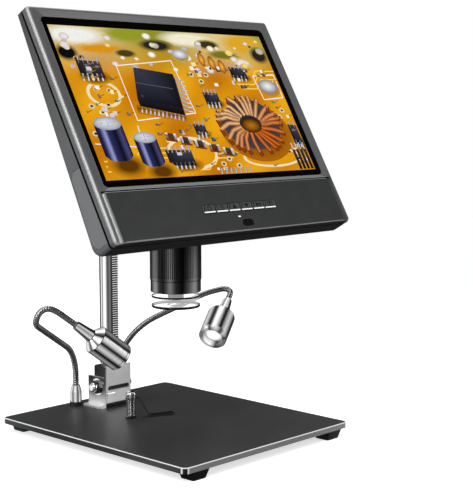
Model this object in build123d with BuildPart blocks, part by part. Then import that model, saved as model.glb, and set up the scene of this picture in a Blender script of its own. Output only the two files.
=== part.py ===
"""LCD digital microscope on a rack-and-pinion stand, in millimetres, +Z up.

The origin is the centre of the base at the level its feet stand on. +X is the viewer's right
and -Y points at the viewer. A slab base on four rubber feet carries a toothed flat column in a
folded steel bracket, two gooseneck lamps and a spring clip. A pinion carriage lifts the head:
a wedge-shaped monitor, leaning back, over a ribbed focus barrel with a clear end cap.
"""

import os
from math import atan2, cos, pi, radians, sin, sqrt, tan

from build123d import *

os.makedirs("parts", exist_ok=True)

# ---------------------------------------------------------------- driving dimensions
# base
base_width = 180.0
base_depth = 210.0
base_thickness = 4.5
base_corner_radius = 5.0
base_edge_chamfer = 0.6
foot_height = 7.0
foot_top_size = 17.0
foot_bottom_size = 13.0
foot_edge_distance = 9.0
base_screw_diameter = 3.0
base_screw_head_diameter = 5.6
base_screw_head_height = 2.0
base_screw_bite = 3.3
foot_recess_depth = 4.0

# column and its foot
column_setback = 28.0
column_width = 6.5
column_depth = 17.5
column_top = 262.0
column_foot_width = 23.6
column_foot_depth = 15.5
column_foot_height = 34.0
column_tang_depth = 9.0
column_tang_floor = 3.0
cap_wall = 1.5
cap_height = 9.0

# rack and pinion
gear_module = 0.6
pinion_teeth = 16
pressure_angle = radians(20)
tooth_backlash = 0.10
pinion_face_width = 6.0
pinion_shaft_diameter = 5.0
pinion_bore_gap = 0.4

# folded bracket
bracket_sheet = 2.0
bracket_plate_height = 34.5
bracket_plate_floor = 4.0
bracket_ear_depth = 20.0
bracket_ear_height = 25.0
bracket_flange_reach = 5.5
bracket_flange_chamfer = 2.5
bracket_slot_length = 23.0
bracket_slot_height = 3.8
bracket_slot_z = 16.2
bracket_pad_width = 9.0
bracket_pad_height = 6.6
bracket_pad_thickness = 0.8
bracket_pad_z = 8.7
bracket_screw_spacing = 13.0
clamp_bolt_diameter = 6.0
clamp_bolt_z = 17.0
clamp_washer_diameter = 14.0
clamp_washer_thickness = 0.9
clamp_nut_across_flats = 10.0
clamp_nut_thickness = 3.2
clamp_bolt_head_diameter = 8.4
clamp_bolt_head_height = 3.4

# spring clip
clip_x = -20.6
clip_reach = 49.2
clip_post_diameter = 4.0
clip_post_height = 21.0
clip_post_flange_height = 1.2
clip_post_flange_margin = 0.6
clip_spring_diameter = 7.2
clip_spring_height = 14.6
clip_spring_turns = 12
clip_spring_gap = 0.3
clip_leaf_width = 7.0
clip_leaf_thickness = 0.8
clip_leaf_drop_run = 9.0
clip_leaf_tip_length = 21.0
clip_leaf_heading = -24.0
clip_leaf_rest_gap = 0.4
clip_leaf_tip_rise = 0.6
clip_nut_diameter = 8.6
clip_nut_height = 4.6

# gooseneck lamps
neck_diameter = 5.0
ferrule_x = 22.5
ferrule_setback = 11.0
ferrule_diameter = 9.4
ferrule_height = 17.0
ferrule_base_diameter = 10.4
ferrule_base_height = 3.4
ferrule_socket_depth = 3.0
neck_end_gap = 0.3
left_lamp_offset = (-35.1, -44.3, 77.1)
right_lamp_offset = (65.4, -68.9, 82.8)
left_lamp_heading = (0.756, -0.227, -0.614)
right_lamp_heading = (-0.771, -0.386, -0.506)
left_bend_to_lamp = 19.3
right_bend_to_lamp = 20.0
lamp_collar_length = 15.3
lamp_collar_small = 7.4
lamp_collar_large = 10.2
lamp_cone_length = 5.4
lamp_body_length = 25.0
lamp_diameter = 23.5
lamp_wall = 1.2
lamp_bezel_length = 3.4
lamp_bezel_lip = 1.6
lamp_lens_thickness = 1.6
lamp_board_thickness = 1.6
lamp_board_setback = 6.0
lamp_chip_radius = 2.4
lamp_chip_height = 2.0

# head: the monitor
lean = radians(30)
screen_reach = 98.0
screen_z = 250.9
picture_width = 222.72
picture_height = 125.28
panel_border = 4.0
glass_side_border = 5.24
glass_end_border = 5.76
glass_centre_s = 0.6
glass_thickness = 1.7
glass_corner_radius = 4.5
frame_side_width = 9.4
frame_top_width = 8.5
frame_sill_width = 3.2
head_corner_radius = 3.2
head_top_depth = 12.0
head_bottom_depth = 25.2
head_belly_radius = 9.0
frame_thickness = 4.5
frame_edge_radius = 3.0
frame_rim_proud = 1.2
frame_rim_width = 3.4
frame_rear_gap = 1.8
frame_ledge_thickness = 1.0
frame_ledge_width = 3.4
spigot_wall = 2.0
spigot_reach = 3.0
shell_wall = 2.2
shell_edge_radius = 3.0
panel_thickness = 3.6
chin_height = 40.0
chin_proud = 1.4
chin_side_margin = 3.7
chin_skin = 2.0
chin_groove = 0.5
chin_end_radius = 5.4
chin_edge_radius = 1.2
chin_skin_margin = 6.5
cover_thickness = 1.2
cover_groove = 0.25
cover_top_rise = 22.5
cover_bottom_rise = 5.0
cover_rear_margin = 3.0
cover_corner_cut = 3.5
shell_screw_inset = 7.5
shell_screw_end_margin = 9.0
shell_screw_diameter = 2.2
shell_screw_head_diameter = 4.4
shell_screw_head_height = 1.3
shell_boss_diameter = 5.2

# keys and infra-red window
key_count = 6
key_pitch = 13.15
key_row_x = 4.8
key_row_drop = 19.8
key_height = 6.4
key_slant = 1.3
key_gap = 0.9
key_proud = 0.5
key_travel = 0.5
key_flange_thickness = 0.8
key_stem_size = 3.0
key_play = 0.4
switch_size = 4.6
switch_height = 1.0
switch_clearance = 1.0
ir_window_x = 7.0
ir_window_rise = 7.0
ir_window_length = 12.0
ir_window_height = 5.4

# boards and sockets
board_thickness = 1.6
main_board_width = 108.0
main_board_height = 30.0
main_board_rise = 27.0
main_board_depth = 13.5
usb_width = 9.0
usb_height = 3.3
card_width = 12.4
card_height = 2.0
socket_length = 9.0
usb_rise = 35.0
card_rise = 21.0
socket_gap = 0.3

# optics
optic_reach = 80.0
housing_floor_z = 144.0
focus_ring_length = 31.3
collar_length = 9.3
clear_cap_length = 12.4
clear_cap_diameter = 38.0
clear_cap_wall = 1.6
collar_diameter = 39.6
collar_wall = 2.6
focus_ring_diameter = 40.3
focus_ring_bore = 33.2
focus_rib_count = 84
focus_rib_depth = 0.6
focus_band_height = 2.0
lens_tube_diameter = 32.4
lens_tube_wall = 2.0
lens_tube_rise = 8.0
lens_tube_flange = 1.5
objective_diameter = 12.4
objective_wall = 1.4
objective_length = 13.0
led_board_thickness = 1.2
led_count = 8
led_size = 2.6
led_height = 0.9
housing_width = 64.0
housing_front_reach = 26.0
housing_rear_reach = 33.0
housing_top_s = 22.0
housing_low_rise = 35.5
housing_sink = 4.0
housing_wall = 2.4
housing_edge_radius = 3.0
sensor_board_size = 28.0
sensor_chip_size = 8.0

# carriage
carriage_bottom_z = 168.0
carriage_height = 44.0
carriage_width = 28.0
carriage_front_reach = 25.0
carriage_corner_radius = 2.0
gib_thickness = 4.0
arm_width = 20.0
arm_height = 30.0
arm_flange_width = 44.0
arm_flange_height = 40.0
arm_flange_thickness = 3.0
carriage_screw_diameter = 3.0
carriage_screw_head_diameter = 5.5
carriage_screw_head_height = 2.4
gib_screw_spacing_x = 20.0
gib_screw_spacing_z = 32.0
arm_screw_spacing_x = 32.0
arm_screw_spacing_z = 28.0
knob_diameter = 29.0
knob_length = 15.0
knob_hub_length = 2.5
knob_hub_diameter = 18.0
knob_rib_count = 48
knob_rib_depth = 0.6
knob_face_margin = 2.5
knob_face_depth = 0.8
knob_bore_share = 0.6

# clearances
slide_gap = 0.05
running_gap = 0.05
turning_gap = 0.35
seat_gap = 0.1

# ---------------------------------------------------------------- derived places
deck_z = foot_height + base_thickness
foot_x = base_width / 2 - foot_edge_distance - foot_top_size / 2 + 1
foot_y = base_depth / 2 - foot_top_size / 2
column_y = base_depth / 2 - column_setback
ferrule_y = base_depth / 2 - ferrule_setback
clip_y = column_y - clip_reach
carriage_front_y = column_y - carriage_front_reach
optic_axis_y = column_y - optic_reach
housing_front_y = optic_axis_y - housing_front_reach
housing_rear_y = optic_axis_y + housing_rear_reach
housing_shoulder_z = carriage_bottom_z + carriage_height
collar_top_z = housing_floor_z - focus_ring_length
cap_top_z = collar_top_z - collar_length
cap_bottom_z = cap_top_z - clear_cap_length
lens_tube_top_z = housing_floor_z + lens_tube_rise
screen_y = column_y - screen_reach
glass_width = picture_width + 2 * glass_side_border
glass_height = picture_height + 2 * glass_end_border
head_width = glass_width + 2 * frame_side_width
head_top_s = glass_centre_s + glass_height / 2 + frame_top_width
chin_top_s = glass_centre_s - glass_height / 2 - frame_sill_width
head_bottom_s = chin_top_s - chin_height
chin_width = head_width - 2 * chin_side_margin
cover_top_s = chin_top_s + cover_top_rise
cover_bottom_s = head_bottom_s + cover_bottom_rise
key_row_s = chin_top_s - key_row_drop
ir_window_s = head_bottom_s + ir_window_rise
main_board_s = head_bottom_s + main_board_rise
usb_s = head_bottom_s + usb_rise
card_s = head_bottom_s + card_rise
shell_screw_x = head_width / 2 - shell_screw_inset
head_half = head_width / 2
column_front_y = column_y - column_depth / 2
column_rear_y = column_y + column_depth / 2
bracket_inner_x = column_foot_width / 2 + 0.2
bracket_outer_x = bracket_inner_x + bracket_sheet
bracket_plate_y = column_front_y - 0.25
block_y = bracket_plate_y + column_foot_depth / 2
pitch_radius = gear_module * pinion_teeth / 2
tooth_addendum = gear_module
tooth_dedendum = 1.25 * gear_module
tooth_pitch = pi * gear_module
rack_pitch_y = column_front_y + tooth_addendum
pinion_y = rack_pitch_y - pitch_radius
pinion_z = deck_z + carriage_bottom_z + carriage_height / 2
pinion_bore = 2 * (pitch_radius + tooth_addendum + pinion_bore_gap)

head_plane = Plane(origin=(0, screen_y, screen_z + deck_z), x_dir=(1, 0, 0), z_dir=(0, -cos(lean), sin(lean)))
side_plane = Plane(
    origin=(0, screen_y, screen_z + deck_z), x_dir=(0, sin(lean), cos(lean)), z_dir=(-1, 0, 0)
)


def dome_middle(radius, rise):
    """Point halfway along a spherical dome's outline: its distance from the axis and its height."""
    sphere = (radius**2 + rise**2) / (2 * rise)
    half_angle = atan2(radius, sphere - rise) / 2
    return sphere * sin(half_angle), rise - sphere * (1 - cos(half_angle))


def level(z):
    """Horizontal plane at height z above the top of the base."""
    return Plane.XY.offset(deck_z + z)


def rear_depth(s):
    """Depth of the head's flat rear face behind its front plane at height s up the screen."""
    slope = (head_bottom_depth - head_top_depth) / (head_top_s - head_bottom_s)
    return head_top_depth + (head_top_s - s) * slope


def head_outline(inset=0.0):
    """Front outline of the head, drawn in by inset: a rectangle with rounded corners."""
    width = head_width - 2 * inset
    height = head_top_s - head_bottom_s - 2 * inset
    with Locations((0, (head_top_s + head_bottom_s) / 2)):
        if inset < head_corner_radius:
            RectangleRounded(width, height, head_corner_radius - inset)
        else:
            Rectangle(width, height)


def wedge(inset, front_depth, edge_radius=0.0):
    """Wedge of the head behind front_depth, drawn in by inset, with rounded flank edges."""
    top = head_top_s - inset
    bottom = head_bottom_s + inset
    with BuildPart() as solid:
        with BuildSketch(side_plane) as profile:
            with BuildLine():
                Polyline(
                    (top, front_depth),
                    (top, rear_depth(top) - inset),
                    (bottom, rear_depth(bottom) - inset),
                    (bottom, front_depth),
                    close=True,
                )
            make_face()
            belly_corner = profile.vertices().group_by(Axis.X)[0].sort_by(Axis.Y)[-1]
            fillet(belly_corner, head_belly_radius - inset)
        extrude(amount=head_half - inset, both=True)
        if edge_radius > 0:
            flank_edges = solid.edges().filter_by(lambda edge: abs(abs(edge.center().X) - head_half) < 0.01)
            front_side = Axis((0, 0, 0), head_plane.z_dir)
            fillet(flank_edges.sort_by(front_side)[:-2], edge_radius)
    return solid.part


# ================================================================ base
with BuildPart() as base_plate:
    with BuildSketch(Plane.XY.offset(foot_height)):
        RectangleRounded(base_width, base_depth, base_corner_radius)
    extrude(amount=base_thickness)
    chamfer(base_plate.edges().group_by(Axis.Z)[-1], base_edge_chamfer)
    with BuildSketch(Plane.XY.offset(foot_height)):
        with GridLocations(2 * foot_x, 2 * foot_y, 2, 2):
            Circle(base_screw_diameter / 2)
    extrude(amount=base_screw_bite, mode=Mode.SUBTRACT)
    with Locations((0, 0, deck_z)):
        with GridLocations(2 * ferrule_x, 0, 2, 1):
            with Locations((0, ferrule_y)):
                Hole(neck_diameter / 2)
    with Locations((clip_x, clip_y, deck_z)):
        Hole(clip_post_diameter / 2)
    with Locations((0, column_y, deck_z)):
        with GridLocations(2 * (bracket_outer_x + bracket_flange_reach / 2), bracket_screw_spacing, 2, 2):
            Hole(base_screw_diameter / 2)
base_plate.part.label = "base_plate"
export_step(base_plate.part, "parts/base_plate.step")

with BuildPart() as rubber_feet:
    with GridLocations(2 * foot_x, 2 * foot_y, 2, 2) as foot_grid:
        foot_centres = foot_grid.locations
    for place in foot_centres:
        centre = place.position
        with BuildSketch(Plane.XY.offset(foot_height)):
            with Locations((centre.X, centre.Y)):
                RectangleRounded(foot_top_size, foot_top_size, 1.5)
        with BuildSketch(Plane.XY):
            with Locations((centre.X, centre.Y)):
                RectangleRounded(foot_bottom_size, foot_bottom_size, 1.5)
        loft()
    for place in foot_centres:
        centre = place.position
        with Locations(Plane(origin=(centre.X, centre.Y, 0), z_dir=(0, 0, -1))):
            CounterBoreHole(
                base_screw_diameter / 2 + seat_gap,
                base_screw_head_diameter / 2 + seat_gap,
                foot_recess_depth,
                depth=foot_height,
            )
rubber_feet.part.label = "rubber_feet"
export_step(rubber_feet.part, "parts/rubber_feet.step")

# ================================================================ folded bracket
with BuildPart() as column_bracket:
    ear_rear_y = bracket_plate_y + bracket_ear_depth
    with BuildSketch(Plane.XZ.offset(-bracket_plate_y)):
        with Locations((0, deck_z + (bracket_plate_height + bracket_plate_floor) / 2)):
            Rectangle(2 * bracket_outer_x, bracket_plate_height - bracket_plate_floor)
        with Locations((0, deck_z + bracket_slot_z)):
            SlotOverall(bracket_slot_length, bracket_slot_height, mode=Mode.SUBTRACT)
    extrude(amount=bracket_sheet)
    with BuildSketch(Plane.YZ.offset(bracket_inner_x)):
        with BuildLine():
            Polyline(
                (bracket_plate_y - bracket_sheet, deck_z + bracket_plate_floor),
                (bracket_plate_y, deck_z + bracket_plate_floor),
                (bracket_plate_y, deck_z),
                (ear_rear_y, deck_z),
                (ear_rear_y, deck_z + bracket_ear_height),
                (bracket_plate_y, deck_z + bracket_ear_height),
                (bracket_plate_y, deck_z + bracket_plate_height),
                (bracket_plate_y - bracket_sheet, deck_z + bracket_plate_height),
                close=True,
            )
        make_face()
        with Locations((block_y, deck_z + clamp_bolt_z)):
            Circle(clamp_bolt_diameter / 2 + seat_gap, mode=Mode.SUBTRACT)
    extrude(amount=bracket_sheet)
    with BuildSketch(level(0)):
        with BuildLine():
            Polyline(
                (bracket_outer_x, bracket_plate_y),
                (bracket_outer_x + bracket_flange_reach - bracket_flange_chamfer, bracket_plate_y),
                (bracket_outer_x + bracket_flange_reach, bracket_plate_y + bracket_flange_chamfer),
                (bracket_outer_x + bracket_flange_reach, ear_rear_y),
                (bracket_outer_x, ear_rear_y),
                close=True,
            )
        make_face()
    extrude(amount=bracket_sheet)
    mirror(about=Plane.YZ)
    inside_bend = column_bracket.edges().filter_by(Axis.Y).filter_by(
        lambda edge: abs(edge.center().Z - deck_z - bracket_sheet) < 0.01
        and abs(abs(edge.center().X) - bracket_outer_x) < 0.01
    )
    fillet(inside_bend, bracket_sheet / 2)
    front_bends = column_bracket.edges().filter_by(Axis.Z).filter_by(
        lambda edge: abs(abs(edge.center().X) - bracket_outer_x) < 0.01
        and abs(edge.center().Y - bracket_plate_y + bracket_sheet) < 0.01
    )
    fillet(front_bends, bracket_sheet * 0.7)
    pad_x = -bracket_outer_x + bracket_pad_width / 2 + 1.5
    with BuildSketch(Plane.XZ.offset(-bracket_plate_y + bracket_sheet)):
        with Locations((pad_x, deck_z + bracket_pad_z)):
            RectangleRounded(bracket_pad_width, bracket_pad_height, 0.6)
    extrude(amount=bracket_pad_thickness)
    with Locations((0, column_y, deck_z + bracket_sheet)):
        with GridLocations(2 * (bracket_outer_x + bracket_flange_reach / 2), bracket_screw_spacing, 2, 2):
            Hole(base_screw_diameter / 2, depth=bracket_sheet)
column_bracket.part.label = "column_bracket"
export_step(column_bracket.part, "parts/column_bracket.step")

with BuildPart() as base_screws:
    with GridLocations(2 * (bracket_outer_x + bracket_flange_reach / 2), bracket_screw_spacing, 2, 2) as grid:
        flange_places = [(place.position.X, column_y + place.position.Y) for place in grid.locations]
    foot_places = [(place.position.X, place.position.Y) for place in foot_centres]
    for places, seat_z, grip in (
        (foot_places, foot_recess_depth, foot_height - foot_recess_depth + base_screw_bite),
        (flange_places, foot_height, base_thickness + bracket_sheet),
    ):
        with BuildSketch(Plane.XY.offset(seat_z)):
            with Locations(*places):
                Circle(base_screw_head_diameter / 2)
        extrude(amount=-base_screw_head_height)
        with BuildSketch(Plane.XY.offset(seat_z - base_screw_head_height)):
            with Locations(*places):
                RegularPolygon(1.3, 6)
        extrude(amount=base_screw_head_height * 0.6, mode=Mode.SUBTRACT)
        with BuildSketch(Plane.XY.offset(seat_z)):
            with Locations(*places):
                Circle(base_screw_diameter / 2)
        extrude(amount=grip)
base_screws.part.label = "base_screws"
export_step(base_screws.part, "parts/base_screws.step")

with BuildPart() as clamp_bolt:
    bolt_end_x = bracket_outer_x + clamp_washer_thickness + clamp_nut_thickness
    with BuildSketch(Plane.YZ.offset(-bolt_end_x)):
        with Locations((block_y, deck_z + clamp_bolt_z)):
            Circle(clamp_bolt_diameter / 2)
    extrude(amount=2 * bolt_end_x + 1.5)
    with BuildSketch(Plane.YZ.offset(-bolt_end_x)):
        with Locations((block_y, deck_z + clamp_bolt_z)):
            Circle(clamp_bolt_head_diameter / 2)
    extrude(amount=-clamp_bolt_head_height)
    fillet(clamp_bolt.faces().sort_by(Axis.X)[0].edges(), clamp_bolt_head_height * 0.6)
clamp_bolt.part.label = "clamp_bolt"
export_step(clamp_bolt.part, "parts/clamp_bolt.step")

with BuildPart() as clamp_washers:
    for side in (-1, 1):
        with BuildSketch(Plane.YZ.offset(side * bracket_outer_x)):
            with Locations((block_y, deck_z + clamp_bolt_z)):
                Circle(clamp_washer_diameter / 2)
                Circle(clamp_bolt_diameter / 2 + seat_gap, mode=Mode.SUBTRACT)
        extrude(amount=side * clamp_washer_thickness)
clamp_washers.part.label = "clamp_washers"
export_step(clamp_washers.part, "parts/clamp_washers.step")

with BuildPart() as clamp_nuts:
    for side in (-1, 1):
        with BuildSketch(Plane.YZ.offset(side * (bracket_outer_x + clamp_washer_thickness))):
            with Locations((block_y, deck_z + clamp_bolt_z)):
                RegularPolygon(clamp_nut_across_flats / 2, 6, major_radius=False)
                Circle(clamp_bolt_diameter / 2 + seat_gap, mode=Mode.SUBTRACT)
        extrude(amount=side * clamp_nut_thickness)
clamp_nuts.part.label = "clamp_nuts"
export_step(clamp_nuts.part, "parts/clamp_nuts.step")

# ================================================================ column
with BuildPart() as column_foot:
    with BuildSketch(level(column_tang_floor / 3)):
        with Locations((0, block_y)):
            RectangleRounded(column_foot_width, column_foot_depth, 1.0)
    extrude(amount=column_foot_height - column_tang_floor / 3)
    chamfer(column_foot.faces().sort_by(Axis.Z)[-1].edges(), 0.8)
    with BuildSketch(level(column_foot_height)):
        with Locations((0, block_y)):
            Rectangle(column_width + 2 * slide_gap, column_tang_depth + 2 * slide_gap)
    extrude(amount=-(column_foot_height - column_tang_floor), mode=Mode.SUBTRACT)
    with Locations(Plane.YZ):
        with Locations((block_y, deck_z + clamp_bolt_z)):
            Hole(clamp_bolt_diameter / 2 + seat_gap)
column_foot.part.label = "column_foot"
export_step(column_foot.part, "parts/column_foot.step")


def rack_gap(centre_z):
    """One tooth space of the rack, in the plane of Y and Z, opening towards -Y."""
    root_y = rack_pitch_y + tooth_dedendum
    open_y = column_front_y - 0.5
    half_at_pitch = tooth_pitch / 4 + tooth_backlash / 2
    half_at_root = half_at_pitch - tooth_dedendum * tan(pressure_angle)
    half_at_mouth = half_at_pitch + (rack_pitch_y - open_y) * tan(pressure_angle)
    Polygon(
        (root_y, centre_z - half_at_root),
        (root_y, centre_z + half_at_root),
        (open_y, centre_z + half_at_mouth),
        (open_y, centre_z - half_at_mouth),
        align=None,
    )


with BuildPart() as rack_column:
    gaps_down = int((pinion_z - deck_z - column_foot_height - tooth_pitch) / tooth_pitch)
    gaps_up = int((column_top - cap_height - (pinion_z - deck_z)) / tooth_pitch)
    with BuildSketch(level(column_foot_height)):
        with Locations((0, column_y)):
            Rectangle(column_width, column_depth)
    extrude(amount=column_top - column_foot_height)
    long_edges = rack_column.edges().filter_by(Axis.Z).group_by(Axis.Y)[-1]
    chamfer(long_edges, 0.6)
    with BuildSketch(level(column_tang_floor)):
        with Locations((0, block_y)):
            Rectangle(column_width, column_tang_depth)
    extrude(amount=column_foot_height - column_tang_floor)
    with BuildSketch(Plane.YZ.offset(-column_width / 2)):
        for step in range(-gaps_down, gaps_up + 1):
            rack_gap(pinion_z + step * tooth_pitch)
    extrude(amount=column_width, mode=Mode.SUBTRACT)
    with Locations(Plane.YZ):
        with Locations((block_y, deck_z + clamp_bolt_z)):
            Hole(clamp_bolt_diameter / 2 + seat_gap)
rack_column.part.label = "rack_column"
export_step(rack_column.part, "parts/rack_column.step")

with BuildPart() as column_cap:
    with BuildSketch(level(column_top - cap_height + cap_wall)):
        with Locations((0, column_y)):
            RectangleRounded(
                column_width + 2 * (slide_gap + cap_wall), column_depth + 2 * (slide_gap + cap_wall), 1.4
            )
    extrude(amount=cap_height)
    fillet(column_cap.faces().sort_by(Axis.Z)[-1].edges(), cap_wall * 0.8)
    with BuildSketch(level(column_top - cap_height + cap_wall)):
        with Locations((0, column_y)):
            Rectangle(column_width + 2 * slide_gap, column_depth + 2 * slide_gap)
    extrude(amount=cap_height - cap_wall, mode=Mode.SUBTRACT)
column_cap.part.label = "column_cap"
export_step(column_cap.part, "parts/column_cap.step")

# ================================================================ spring clip
with BuildPart() as clip_post:
    with BuildSketch(Plane.XY.offset(foot_height)):
        with Locations((clip_x, clip_y)):
            Circle(clip_post_diameter / 2)
    extrude(amount=base_thickness + clip_post_height)
    with BuildSketch(level(0)):
        with Locations((clip_x, clip_y)):
            Circle(clip_spring_diameter / 2 + clip_post_flange_margin)
    extrude(amount=clip_post_flange_height)
clip_post.part.label = "clip_post"
export_step(clip_post.part, "parts/clip_post.step")

spring_floor = deck_z + clip_post_flange_height
with BuildPart() as clip_spring:
    wire_radius = clip_spring_height / clip_spring_turns / 2
    inner_radius = clip_post_diameter / 2 + clip_spring_gap
    outer_radius = clip_spring_diameter / 2
    with BuildSketch(Plane.XZ.offset(-clip_y)):
        with Locations((clip_x + (inner_radius + outer_radius) / 2, spring_floor + clip_spring_height / 2)):
            Rectangle((outer_radius - inner_radius) * 0.7, clip_spring_height)
        for turn in range(clip_spring_turns):
            turn_z = spring_floor + (2 * turn + 1) * wire_radius
            with Locations((clip_x + outer_radius - wire_radius, turn_z)):
                Circle(wire_radius)
    revolve(axis=Axis((clip_x, clip_y, 0), (0, 0, 1)))
clip_spring.part.label = "clip_spring"
export_step(clip_spring.part, "parts/clip_spring.step")

leaf_z = spring_floor + clip_spring_height + seat_gap
leaf_tip_z = deck_z + clip_leaf_rest_gap
with BuildPart() as stage_clip:
    leaf_plane = Plane(
        origin=(clip_x, clip_y, 0),
        x_dir=Vector(1, 0, 0).rotate(Axis.Z, clip_leaf_heading),
        z_dir=Vector(0, -1, 0).rotate(Axis.Z, clip_leaf_heading),
    )
    eye_radius = clip_leaf_width / 2 + 1.0
    with BuildSketch(leaf_plane):
        with BuildLine() as leaf_line:
            FilletPolyline(
                (eye_radius - 1.0, leaf_z),
                (eye_radius + 1.5, leaf_z),
                (eye_radius + 1.5 + clip_leaf_drop_run, leaf_tip_z),
                (eye_radius + 1.5 + clip_leaf_drop_run + clip_leaf_tip_length, leaf_tip_z + clip_leaf_tip_rise),
                radius=2.5,
            )
            offset(leaf_line.line, amount=clip_leaf_thickness, side=Side.LEFT)
        make_face()
    extrude(amount=clip_leaf_width / 2, both=True)
    with BuildSketch(Plane.XY.offset(leaf_z)):
        with Locations((clip_x, clip_y)):
            Circle(eye_radius)
    extrude(amount=clip_leaf_thickness)
    with Locations((clip_x, clip_y, leaf_z)):
        Hole(clip_post_diameter / 2 + turning_gap)
stage_clip.part.label = "stage_clip"
export_step(stage_clip.part, "parts/stage_clip.step")

with BuildPart() as clip_nut:
    nut_floor = leaf_z + clip_leaf_thickness + seat_gap
    with BuildSketch(Plane.XY.offset(nut_floor)):
        with Locations((clip_x, clip_y)):
            Circle(clip_nut_diameter / 2)
    extrude(amount=clip_nut_height)
    fillet(clip_nut.faces().sort_by(Axis.Z)[-1].edges(), 1.6)
    with BuildSketch(Plane.XY.offset(nut_floor)):
        with Locations((clip_x, clip_y)):
            Circle(clip_post_diameter / 2)
    extrude(amount=deck_z + clip_post_height - nut_floor, mode=Mode.SUBTRACT)
clip_nut.part.label = "clip_nut"
export_step(clip_nut.part, "parts/clip_nut.step")

# ================================================================ gooseneck lamps
# Each neck rises from its ferrule, runs out in a loop, and bends into the lamp's own axis.
left_lamp_direction = Vector(*left_lamp_heading).normalized()
right_lamp_direction = Vector(*right_lamp_heading).normalized()
left_ferrule = Vector(-ferrule_x, ferrule_y, deck_z)
right_ferrule = Vector(ferrule_x, ferrule_y, deck_z)
left_neck_end = left_ferrule + Vector(*left_lamp_offset)
right_neck_end = right_ferrule + Vector(*right_lamp_offset)
left_bend = left_neck_end - left_lamp_direction * left_bend_to_lamp
right_bend = right_neck_end - right_lamp_direction * right_bend_to_lamp
neck_start = Vector(0, 0, ferrule_height - ferrule_socket_depth + seat_gap)
left_neck_route = [
    left_ferrule + neck_start,
    left_ferrule + Vector(0, 0, 44.0),
    left_ferrule + Vector(-66.8, -32.0, 80.7),
    left_ferrule + Vector(-60.6, -36.0, 94.8),
    left_bend,
    left_neck_end - left_lamp_direction * neck_end_gap,
]
right_neck_route = [
    right_ferrule + neck_start,
    right_ferrule + Vector(0, 0, 33.1),
    right_ferrule + Vector(14.5, -11.0, 60.8),
    right_ferrule + Vector(61.8, -46.7, 87.6),
    right_bend,
    right_neck_end - right_lamp_direction * neck_end_gap,
]
left_neck_radii = [30.0, 8.4, 8.4, 40.0]
right_neck_radii = [50.0, 60.0, 60.0, 6.5]

with BuildPart() as ferrule_bases:
    with BuildSketch(level(0)):
        with GridLocations(2 * ferrule_x, 0, 2, 1):
            with Locations((0, ferrule_y)):
                Circle(ferrule_base_diameter / 2)
                Circle(neck_diameter / 2, mode=Mode.SUBTRACT)
    extrude(amount=ferrule_base_height)
ferrule_bases.part.label = "ferrule_bases"
export_step(ferrule_bases.part, "parts/ferrule_bases.step")

with BuildPart() as neck_ferrules:
    for side in (-1, 1):
        with BuildSketch(Plane.XZ.offset(-ferrule_y)):
            centre_x = side * ferrule_x
            with BuildLine():
                Polyline(
                    (centre_x, deck_z - base_thickness),
                    (centre_x + neck_diameter / 2 - seat_gap, deck_z - base_thickness),
                    (centre_x + neck_diameter / 2 - seat_gap, deck_z + ferrule_base_height),
                    (centre_x + ferrule_diameter / 2, deck_z + ferrule_base_height),
                    (centre_x + ferrule_diameter / 2, deck_z + ferrule_height * 0.68),
                    (centre_x + neck_diameter / 2 + 0.9, deck_z + ferrule_height),
                    (centre_x + neck_diameter / 2 + running_gap, deck_z + ferrule_height),
                    (centre_x + neck_diameter / 2 + running_gap, deck_z + ferrule_height - ferrule_socket_depth),
                    (centre_x, deck_z + ferrule_height - ferrule_socket_depth),
                    close=True,
                )
            make_face()
        revolve(axis=Axis((centre_x, ferrule_y, 0), (0, 0, 1)))
neck_ferrules.part.label = "neck_ferrules"
export_step(neck_ferrules.part, "parts/neck_ferrules.step")

for side_name, route, radii in (
    ("left", left_neck_route, left_neck_radii),
    ("right", right_neck_route, right_neck_radii),
):
    with BuildPart() as neck:
        with BuildLine() as neck_line:
            FilletPolyline(*route, radius=radii)
        with BuildSketch(Plane(origin=route[0], z_dir=(0, 0, 1))):
            Circle(neck_diameter / 2)
        sweep(path=neck_line.line)
    neck_length = sum(edge.length for edge in neck_line.edges())
    print(side_name, "neck length", round(neck_length, 1), "radii", radii)
    print("volume ratio", round(neck.part.volume / (pi * neck_diameter**2 / 4 * neck_length), 4))
    neck.part.label = f"{side_name}_neck"
    export_step(neck.part, f"parts/{side_name}_neck.step")

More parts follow.
